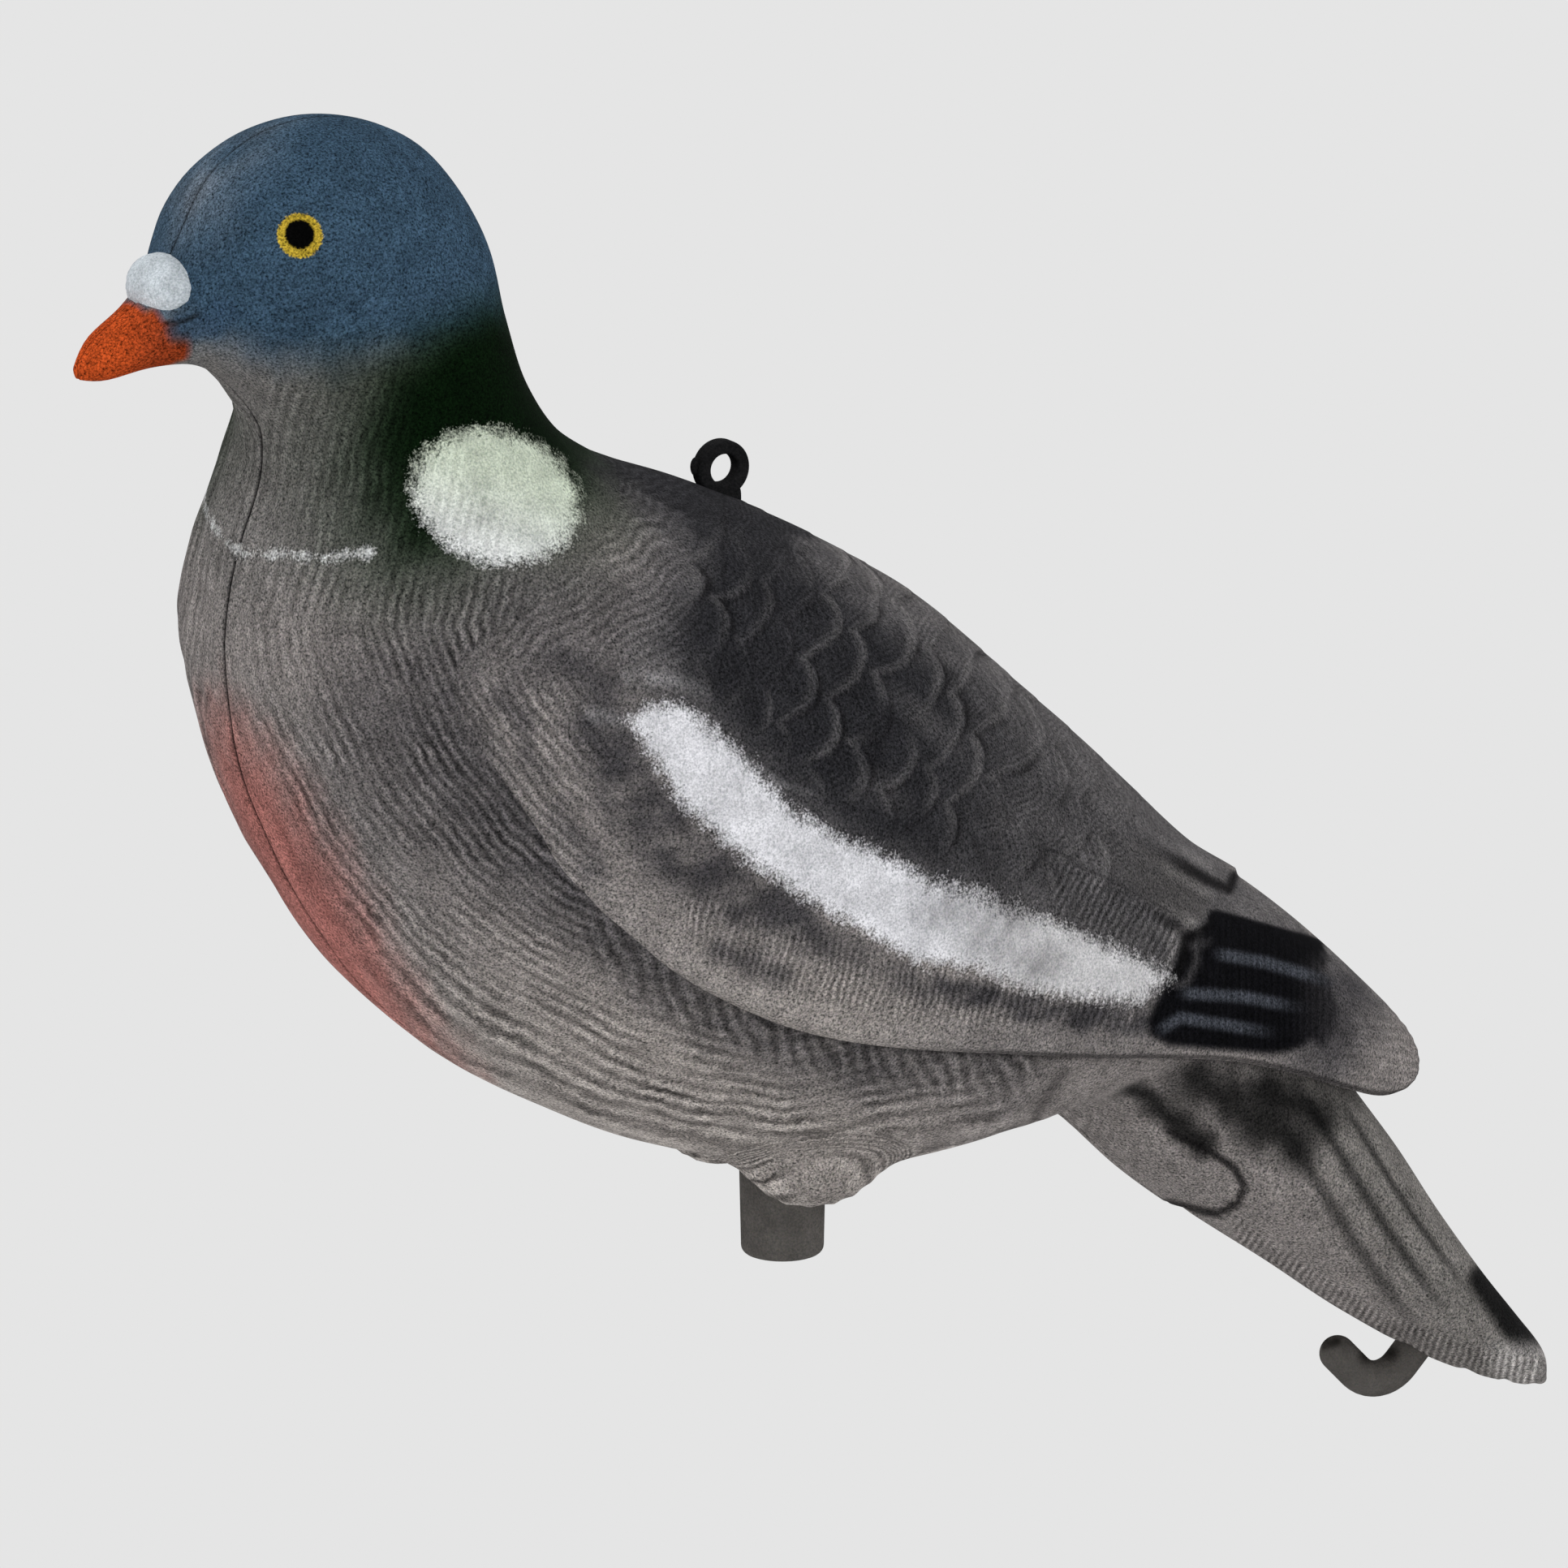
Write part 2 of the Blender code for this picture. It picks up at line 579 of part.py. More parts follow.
def add_peg_bores(shell):
    for where, edge in PEGS:
        centre = peg_centre(where, edge)
        end = centre + Vector((0, PEG_LENGTH + FIT_GAP, 0))
        combine(shell, cylinder("bore", centre, end, PEG_RADIUS + FIT_GAP, sides=12), "DIFFERENCE")
    return shell


# ---- materials and assembly ----
def material(name, colour, roughness):
    made = bpy.data.materials.new(name)
    made.use_nodes = True
    shader = made.node_tree.nodes["Principled BSDF"]
    shader.inputs["Base Color"].default_value = (*colour, 1)
    shader.inputs["Roughness"].default_value = roughness
    shader.inputs["Metallic"].default_value = 0
    return made


def finish(thing, colour, roughness=0.95):
    thing.data.materials.clear()
    thing.data.materials.append(material(thing.name, colour, roughness))
    thing.data.shade_smooth()
    thing.data.set_sharp_from_angle(angle=math.radians(35))


def build_decoy():
    for thing in list(bpy.data.objects):
        bpy.data.objects.remove(thing)
    shell = left_half()
    shell.name = "left_body_shell"
    other = mirrored_half(shell, "right_body_shell")
    finish(add_pegs(shell), (0.20, 0.19, 0.18))
    finish(add_peg_bores(other), (0.20, 0.19, 0.18))
    finish(socket_solid("stake_socket"), (0.09, 0.085, 0.08))
    finish(combine(eye_ring("hanging_eye"), eye_root("root"), "UNION"), (0.01, 0.01, 0.01))
    finish(hook_solid("tail_hook"), (0.11, 0.10, 0.09))


build_decoy()
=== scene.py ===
import math

import bmesh
import bpy
import numpy as np
from mathutils.bvhtree import BVHTree
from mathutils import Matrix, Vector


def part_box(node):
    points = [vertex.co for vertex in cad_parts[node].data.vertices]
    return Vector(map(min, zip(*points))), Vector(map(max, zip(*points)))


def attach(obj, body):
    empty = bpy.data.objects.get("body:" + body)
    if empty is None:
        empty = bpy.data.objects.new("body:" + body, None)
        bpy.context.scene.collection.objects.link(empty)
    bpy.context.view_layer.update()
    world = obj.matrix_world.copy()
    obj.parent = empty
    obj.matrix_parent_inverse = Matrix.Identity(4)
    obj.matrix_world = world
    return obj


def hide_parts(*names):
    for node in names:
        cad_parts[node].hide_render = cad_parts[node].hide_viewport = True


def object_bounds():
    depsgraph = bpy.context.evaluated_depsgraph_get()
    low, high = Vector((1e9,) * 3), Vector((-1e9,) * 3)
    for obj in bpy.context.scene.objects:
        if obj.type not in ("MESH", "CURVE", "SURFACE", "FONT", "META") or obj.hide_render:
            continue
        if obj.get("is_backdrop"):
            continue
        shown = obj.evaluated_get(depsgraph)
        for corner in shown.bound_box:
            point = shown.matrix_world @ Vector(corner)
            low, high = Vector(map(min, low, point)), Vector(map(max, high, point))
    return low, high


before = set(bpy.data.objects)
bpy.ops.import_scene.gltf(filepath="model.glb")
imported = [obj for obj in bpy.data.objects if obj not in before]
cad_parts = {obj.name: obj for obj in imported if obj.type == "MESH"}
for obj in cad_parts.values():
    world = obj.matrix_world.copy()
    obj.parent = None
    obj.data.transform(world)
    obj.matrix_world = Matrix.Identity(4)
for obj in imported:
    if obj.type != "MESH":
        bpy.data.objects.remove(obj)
cadLow, cadHigh = (list(corner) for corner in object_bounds())
print("frame loaded, CAD box", cadLow, cadHigh)

mm = 0.001
seamHalf = 0.15  # each half stops this far from the middle, in mm

cameraSet = {"azimuth": -30.0, "elevation": 15.0, "distance": 3000.0, "lens": 347.2,
             "aim": (0.0, 0.0, 95.0), "slideRight": 0.32, "slideUp": 1.76}

turn = math.radians(cameraSet["azimuth"])
tilt = math.radians(cameraSet["elevation"])
cameraBack = np.array([math.sin(turn) * math.cos(tilt), -math.cos(turn) * math.cos(tilt), math.sin(tilt)])
cameraRight = np.array([math.cos(turn), math.sin(turn), 0.0])
cameraUp = np.cross(cameraBack, cameraRight)
cameraAim = (np.array(cameraSet["aim"]) + cameraRight * cameraSet["slideRight"]
             + cameraUp * cameraSet["slideUp"])
cameraPlace = cameraAim + cameraBack * cameraSet["distance"]
framePixels = 1932.0


def stencil(points):
    # The paint stencils are drawn on a sheet seen square from the left front of the decoy.
    # Points of the right side are mirrored on to it, so both sides are painted alike.
    p = np.array(points, float)
    p[..., 1] = -np.abs(p[..., 1])
    away = p - cameraPlace
    depth = -(away @ cameraBack)
    k = cameraSet["lens"] / 36.0 * framePixels
    return np.stack([framePixels / 2 + (away @ cameraRight) / depth * k,
                     framePixels / 2 - (away @ cameraUp) / depth * k], -1)


pixel = 0.161  # mm on the decoy for one step on the stencil sheet

cameraData = bpy.data.cameras.new("viewCamera")
cameraData.lens = cameraSet["lens"]
cameraData.sensor_width = 36.0
cameraData.clip_start, cameraData.clip_end = 0.1, 30.0
camera = bpy.data.objects.new("viewCamera", cameraData)
bpy.context.scene.collection.objects.link(camera)
camera.location = [float(c) * mm for c in cameraPlace]
camera.rotation_euler = (math.radians(90.0 - cameraSet["elevation"]), 0.0, turn)
bpy.context.scene.camera = camera

# back x, back z, belly x, belly z, half width, fullness above, fullness below
bodyRows = [
    (-156.2, 201.0, -155.8, 197.8, 1.5, 2, 2),  # bill tip
    (-152.0, 206.2, -150.5, 197.3, 5.5, 2, 2),
    (-144.0, 211.3, -141.5, 198.8, 8.5, 2, 2),
    (-138.0, 216.6, -133.5, 198.8, 12.5, 2, 2),  # bill base
    (-133.0, 225.8, -127.5, 196.5, 18.5, 2, 2),
    (-129.8, 231.8, -123.6, 193.2, 21.5, 2, 2),
    (-124.2, 237.6, -120.5, 189.7, 23.5, 2, 2),  # forehead and chin
    (-115.3, 242.2, -118.3, 186.2, 25.0, 2, 2),
    (-104.0, 243.9, -116.5, 182.7, 26.0, 2, 2),  # crown
    (-93.0, 242.0, -116.3, 178.2, 26.5, 2, 2),
    (-83.0, 236.7, -116.9, 173.7, 27.0, 2, 2),
    (-75.8, 228.7, -118.6, 168.7, 28.5, 2, 2.1),  # nape and throat
    (-70.6, 218.4, -120.7, 163.2, 32.0, 2, 2.1),
    (-67.9, 205.9, -122.7, 156.2, 35.6, 2, 2.2),
    (-64.3, 192.0, -124.4, 147.7, 41.0, 2, 2.3),
    (-56.0, 179.4, -125.0, 136.2, 47.2, 2, 2.3),  # foot of the neck
    (-43.0, 170.0, -123.5, 123.2, 51.4, 2, 2.1),
    (-27.0, 162.4, -119.2, 108.4, 54.6, 2, 2.1),
    (-11.0, 155.4, -110.5, 90.7, 57.1, 2, 2.1),
    (5.5, 146.0, -96.1, 69.6, 58.9, 2, 2.1),  # breast and middle of the back
    (22.5, 133.8, -74.3, 50.0, 58.2, 2, 2),
    (40.5, 119.2, -46.6, 34.3, 55.4, 2, 2),
    (58.0, 102.7, -18.0, 23.3, 51.0, 2, 2),
    (75.0, 84.7, 11.0, 18.8, 44.5, 2, 2),  # belly
    (90.5, 68.2, 36.0, 20.7, 37.0, 2, 2),
    (104.0, 51.2, 56.0, 24.7, 30.5, 2, 2),  # vent
    (115.0, 36.7, 67.6, 17.6, 26.0, 2, 2),
    (127.8, 21.8, 81.2, 5.0, 23.5, 2, 2),  # root of the tail
    (140.8, 4.4, 97.6, -7.5, 22.0, 2, 2),
    (151.4, -11.2, 115.5, -20.0, 20.5, 2, 2),
    (161.8, -25.1, 133.0, -32.8, 19.0, 2, 2),
    (171.2, -37.2, 150.0, -43.8, 16.5, 2, 2),
    (177.9, -45.6, 164.5, -50.8, 12.5, 2, 2),
    (180.1, -51.8, 176.5, -55.0, 6.0, 2, 2),  # tail tip
]
wingRows = [
    (-60.0, 180.9, -125.0, 139.2, 43.0, 2, 2.3),
    (-50.0, 173.7, -124.5, 129.2, 50.0, 2, 2.3),
    (-37.0, 167.5, -122.3, 117.2, 55.5, 2, 2.2),  # bend of the wing
    (-23.0, 162.1, -118.0, 103.4, 59.3, 2, 2.2),
    (-7.0, 154.6, -107.7, 85.7, 61.6, 2, 2.1),
    (9.0, 145.6, -91.8, 66.8, 62.6, 2, 2.1),
    (25.4, 135.1, -70.4, 48.8, 62.2, 2, 2),
    (42.0, 120.6, -43.7, 34.1, 59.8, 2, 2),
    (58.6, 104.9, -16.0, 23.2, 55.6, 2, 2),
    (75.4, 88.0, 12.0, 17.2, 50.0, 2, 2),
    (91.0, 73.7, 36.0, 14.2, 43.8, 1.9, 2),
    (104.8, 64.4, 56.0, 10.7, 37.6, 1.8, 2),
    (115.6, 56.0, 74.0, 10.2, 32.6, 1.75, 2),
    (125.8, 47.1, 90.0, 9.7, 28.0, 1.7, 2),
    (134.4, 38.9, 105.0, 7.7, 23.6, 1.7, 2),
    (141.5, 32.0, 120.5, 6.2, 18.0, 1.7, 2),  # wing tips
    (146.4, 26.0, 133.5, 8.7, 14.0, 1.7, 2),
    (149.2, 20.8, 142.5, 10.7, 9.5, 1.7, 2),
]
# outline of a wing from its side: front, lower edge, tip (x, z)
wingOutline = [
    (-97.0, 153.2), (-101.0, 140.7), (-97.0, 127.8), (-90.0, 115.8), (-79.5, 100.2),
    (-68.5, 88.8), (-56.0, 78.2), (-43.0, 70.2), (-24.0, 61.6), (-5.0, 56.2), (21.5, 50.6),
    (43.0, 45.8), (63.0, 41.6), (84.0, 36.2), (103.0, 29.1), (118.6, 22.3), (129.5, 17.9),
    (136.8, 17.0), (142.0, 18.7), (145.2, 22.8), (145.0, 27.8), (141.7, 34.7),
]
wingOver = [(150.0, 70.0), (60.0, 190.0), (-70.0, 215.0)]  # closes the outline above the back


def smoothRows(rows, where):
    rows = np.asarray(rows, float)
    last = len(rows) - 1
    where = np.clip(np.asarray(where, float), 0.0, last - 1e-9)
    index = where.astype(int)
    part = (where - index)[:, None]
    before, start = rows[np.maximum(index - 1, 0)], rows[index]
    end, after = rows[index + 1], rows[np.minimum(index + 2, last)]
    return 0.5 * (2 * start + (end - before) * part
                  + (2 * before - 5 * start + 4 * end - after) * part ** 2
                  + (3 * start - before - 3 * end + after) * part ** 3)


def smoothLine(points, steps):
    count = (len(points) - 1) * steps
    return smoothRows(points, np.arange(count + 1) / steps)


def loftPoints(rows, where, angle):
    # angle 0 is the back line and pi the belly line, on the left side
    s = smoothRows(rows, where)
    back = np.stack([s[:, 0], np.zeros(len(s)), s[:, 1]], -1)
    belly = np.stack([s[:, 2], np.zeros(len(s)), s[:, 3]], -1)
    middle, half = (back + belly) / 2, (back - belly) / 2
    power = np.where(np.cos(angle) >= 0, 2.0 / s[:, 5][:, None], 2.0 / s[:, 6][:, None])
    up = np.sign(np.cos(angle)) * np.abs(np.cos(angle)) ** power
    out = np.abs(np.sin(angle)) ** power
    points = middle[:, None, :] + half[:, None, :] * up[..., None]
    points[..., 1] -= s[:, 4][:, None] * out
    return points


def ringPlaces(rows, first, last, count):
    fine = np.linspace(first, last, 3000)
    s = smoothRows(rows, fine)
    backStep = np.hypot(np.diff(s[:, 0]), np.diff(s[:, 1]))
    bellyStep = np.hypot(np.diff(s[:, 2]), np.diff(s[:, 3]))
    run = np.concatenate([[0.0], np.cumsum(np.maximum(backStep, bellyStep))])
    return np.interp(np.linspace(0.0, run[-1], count), run, fine)


def gridNormals(grid):
    along, across = np.gradient(grid, axis=0), np.gradient(grid, axis=1)
    normal = np.cross(along, across)
    normal /= np.maximum(np.linalg.norm(normal, axis=-1, keepdims=True), 1e-9)
    inside = grid.reshape(-1, 3).mean(0)
    if ((grid - inside) * normal).sum(-1).mean() < 0:
        normal = -normal
    return normal


def step(value, low, high):
    t = np.clip((value - low) / (high - low), 0.0, 1.0)
    return t * t * (3.0 - 2.0 * t)


def wobble(points, length, seed):
    # smooth waves of about the given length in mm, between -1 and 1
    rng = np.random.default_rng(seed)
    total = np.zeros(points.shape[:-1])
    for _ in range(6):
        way = rng.normal(size=points.shape[-1])
        way /= np.linalg.norm(way)
        pitch = length * rng.uniform(0.7, 1.5)
        total += np.sin(points @ way * (2 * math.pi / pitch) + rng.uniform(0, 6.28))
    return total / 3.5


def lineDistance(line, at):
    # distance to a polyline, and how far along it the nearest point lies
    line = np.asarray(line, float)
    best = np.full(at.shape[:-1], 1e9)
    along = np.zeros(at.shape[:-1])
    run = 0.0
    for a, b in zip(line, line[1:]):
        ab = b - a
        size = float(np.hypot(*ab))
        t = np.clip(((at - a) @ ab) / (size * size), 0.0, 1.0)
        gap = np.hypot(at[..., 0] - a[0] - t * ab[0], at[..., 1] - a[1] - t * ab[1])
        nearer = gap < best
        best = np.where(nearer, gap, best)
        along = np.where(nearer, run + t * size, along)
        run += size
    return best, along


def depthInside(outline, at):
    # distance to a closed outline, positive inside it
    outline = np.asarray(outline, float)
    closed = np.vstack([outline, outline[:1]])
    gap, _ = lineDistance(closed, at)
    inside = np.zeros(at.shape[:-1], bool)
    for a, b in zip(closed, closed[1:]):
        if a[1] == b[1]:
            continue
        crosses = (a[1] > at[..., 1]) != (b[1] > at[..., 1])
        edge = a[0] + (at[..., 1] - a[1]) / (b[1] - a[1]) * (b[0] - a[0])
        inside ^= crosses & (at[..., 0] < edge)
    return np.where(inside, gap, -gap)


def closeTo(line, at, far, close):
    # 1 closer to a polyline than close, fading to 0 at far
    return step(-lineDistance(line, at)[0], -far, -close)


def within(outline, at, low, high):
    return step(depthInside(outline, at), low, high)


wingBar = [(776, 886), (800, 870), (838, 868), (870, 890), (900, 918), (936, 955), (974, 998), (1038, 1034),
           (1080, 1050), (1143, 1084), (1223, 1100), (1319, 1140), (1430, 1189), (1446, 1203), (1426, 1219),
           (1408, 1239), (1319, 1233), (1255, 1220), (1207, 1196), (1127, 1182), (1057, 1142), (990, 1104),
           (936, 1069), (904, 1046), (872, 1018), (834, 984), (812, 944)]
barWisps = [([(775, 832), (815, 836), (872, 852)], 12), ([(916, 932), (932, 950), (952, 958)], 7),
            ([(949, 966), (998, 976)], 6), ([(728, 880), (780, 888)], 12)]
neckPatch = {"centre": (610, 612), "half": (104, 80), "lean": 18.0}
collar = [(255, 592), (262, 630), (276, 660), (300, 682), (350, 682), (400, 687), (455, 680)]
tailLower = [(1285, 1372), (1440, 1475), (1530, 1540), (1600, 1590), (1700, 1648), (1760, 1670),
             (1820, 1692), (1893, 1704)]
tailUpper = [(1640, 1290), (1680, 1352), (1760, 1480), (1810, 1550), (1860, 1615), (1895, 1665), (1904, 1690)]
undertailLobe = [(1270, 1368), (1330, 1350), (1400, 1372), (1462, 1406), (1496, 1423), (1521, 1440),
                 (1533, 1461), (1525, 1482), (1500, 1496), (1440, 1482)]
covertLayer = [(900, 480), (1250, 700), (1500, 1000), (1522, 1078), (1514, 1097), (1498, 1099), (1497, 1116),
               (1487, 1141), (1468, 1152), (1457, 1158), (1456, 1180), (1450, 1194), (1446, 1204), (1426, 1219),
               (1408, 1240), (1300, 1240), (1100, 1190), (900, 1040), (800, 900)]
upperTertial = [(1100, 680), (1330, 900), (1520, 1030), (1524, 1078), (1514, 1096), (1487, 1083),
                (1377, 1020), (1250, 940), (1060, 800)]
middleTertial = [(1060, 790), (1250, 930), (1377, 1015), (1487, 1078), (1500, 1098), (1497, 1116),
                 (1487, 1141), (1468, 1152), (1460, 1149), (1399, 1110), (1300, 1040), (1100, 900)]
primaryDark = [(1462, 1152), (1488, 1136), (1500, 1124), (1560, 1143), (1622, 1160), (1640, 1190), (1648, 1215),
               (1650, 1262), (1634, 1292), (1560, 1298), (1440, 1288), (1418, 1276), (1414, 1256), (1430, 1225)]
primaryRibs = [[(1487, 1173), (1560, 1186), (1638, 1209)],
               [(1446, 1223), (1530, 1228), (1646, 1250)],
               [(1419, 1276), (1455, 1254), (1530, 1266), (1624, 1283)]]
# line of the painted shadow in the gap between the two wings
gapShadowLine = [(1497, 1130), (1560, 1147), (1621, 1165)]
lobeEnds = [[(1399, 1110), (1430, 1130), (1462, 1150)], [(1400, 1030), (1487, 1084), (1514, 1096), (1520, 1080)],
            [(1497, 1104), (1498, 1118), (1489, 1142), (1470, 1154), (1460, 1160), (1459, 1182), (1452, 1198)]]
headBlue = [(200, 120), (560, 110), (640, 260), (700, 420), (600, 420), (500, 425), (430, 440), (350, 440),
            (290, 425), (230, 405), (180, 380)]
neckGreen = [(545, 425), (600, 395), (675, 400), (700, 500), (704, 560), (665, 590), (640, 560), (560, 560),
             (540, 640), (515, 640), (490, 560), (505, 480)]
breastPink = [(200, 800), (246, 872), (300, 925), (345, 985), (400, 1075), (445, 1165), (500, 1262), (560, 1350),
              (520, 1380), (400, 1300), (240, 1060)]
mantleDark = [(820, 590), (1010, 700), (1200, 830), (1330, 940), (1440, 1050), (1490, 1105), (1460, 1145),
              (1440, 1190), (1300, 1133), (1143, 1080), (1000, 1008), (900, 912), (846, 850), (815, 790),
              (860, 720)]
darkBand = [(735, 895), (772, 975), (830, 1042), (905, 1092), (995, 1143), (1095, 1196), (1200, 1230),
            (1300, 1246), (1400, 1254)]
frontLine = [(300, 430), (283, 494), (255, 623), (221, 755), (236, 849), (270, 943), (340, 1075), (443, 1208),
             (566, 1311), (717, 1387), (849, 1425), (960, 1440), (1132, 1420), (1302, 1377)]
smudges = [([(690, 1010), (730, 1070)], 22), ([(650, 930), (680, 960)], 16), ([(690, 800), (740, 850)], 26),
           ([(620, 860), (650, 900)], 18), ([(880, 1165), (960, 1200)], 20)]
flankShade = [(560, 880), (640, 1000), (700, 1095), (760, 1155), (830, 1208), (900, 1243), (1000, 1280),
              (1100, 1300), (1240, 1312)]
eyePlace = (372, 289)
pupilPlace = (369, 289)
eyeSet = {"ring": 4.55, "pupil": 3.0, "edge": 1.4}  # radii and roughness of the edge, in mm

# colours as they look, red green blue 0-255
paint = {
    "flock": (134, 129, 127), "belly": (152, 146, 142), "throat": (120, 118, 116), "headBlue": (56, 78, 97),
    "foreheadAndHighlight": (122, 130, 140), "neckGreen": (6, 20, 6), "pink": (166, 106, 99), "mantle": (42, 42, 45),
    # the smudge colour is both dark painted smudges and painted shade under the wing; the primaries' black also paints
    # the shadow in gaps between feathers and between the wings
    "mantleEdge": (92, 90, 91), "smudgeAndShade": (56, 55, 58), "primaryAndGapShade": (12, 12, 15), "rib": (78, 82, 90),
    "tailTop": (120, 117, 114), "tailDark": (22, 22, 22), "bar": (224, 224, 229), "barEnd": (206, 205, 207),
    "patchCore": (196, 206, 188), "patchEdge": (222, 224, 224), "bill": (190, 78, 34), "billShade": (136, 56, 28),
    "mouthBlue": (56, 78, 100), "eyeRing": (178, 152, 50), "pupil": (4, 4, 4), "cere": (208, 216, 222),
    # the crease colour is painted shade, laid in creases, gaps and under edges
    "crease": (14, 13, 14), "fringe": (176, 172, 170), "tertial": (72, 70, 69), "ring": (30, 30, 31),
    "stub": (94, 91, 88), "hook": (90, 87, 84), "hookShade": (38, 36, 34),
}


def linear(name):
    c = np.array(paint[name], float) / 255.0
    return np.where(c <= 0.04045, c / 12.92, ((c + 0.055) / 1.055) ** 2.4)


def lay(colour, name, amount):
    # a spray coat over what is there; mixed as paint looks, not as light adds
    amount = np.clip(amount, 0.0, 1.0)[..., None]
    return (colour ** (1 / 2.2) * (1 - amount) + linear(name) ** (1 / 2.2) * amount) ** 2.2


closedOutline = np.vstack([smoothLine(wingOutline, 6), wingOver])
scaleSet = {"length": 88.0, "width": 84.0, "round": 46.0, "lean": 14.0}


def scaleField(points, at):
    # overlapping round feathers in two staggered rows that point to the tail:
    # height, place along the feather on top, shadow past a tip, distance from its shaft
    lean = math.radians(scaleSet["lean"])
    bend = 18.0 * wobble(points, 60.0, 21) + 5.0 * wobble(points, 18.0, 23)
    along = at[..., 0] * math.cos(lean) + at[..., 1] * math.sin(lean) + bend
    across = -at[..., 0] * math.sin(lean) + at[..., 1] * math.cos(lean) + 14.0 * wobble(points, 50.0, 22)
    half = scaleSet["width"] / 2
    row = across / half
    height, tip = np.full(along.shape, -9.0), np.zeros(along.shape)
    shade, side = np.zeros(along.shape), np.zeros(along.shape)
    for shift in (0, 1):
        off = (row - (np.floor((row + shift) / 2) * 2 - shift + 1)) * half
        reach = along + shift * 0.5 * scaleSet["length"]
        reach = reach + scaleSet["round"] - np.sqrt(np.maximum(scaleSet["round"] ** 2 - off ** 2, 0.0))
        phase = (reach / scaleSet["length"]) % 1.0
        rise = phase - 0.2 * (off / half) ** 2
        tip = np.where(rise > height, phase, tip)
        side = np.where(rise > height, np.abs(off), side)
        height = np.maximum(height, rise)
        shade = np.maximum(shade, 1 - step(phase, 0.02, 0.10))
    return height, tip, shade, along, side


def scaleZone(at):
    zone = [(900, 560), (1250, 800), (1420, 980), (1400, 1080), (1300, 1100), (1160, 1060), (1010, 980),
            (930, 890), (850, 830), (830, 700)]
    return within(zone, at, -20, 36)


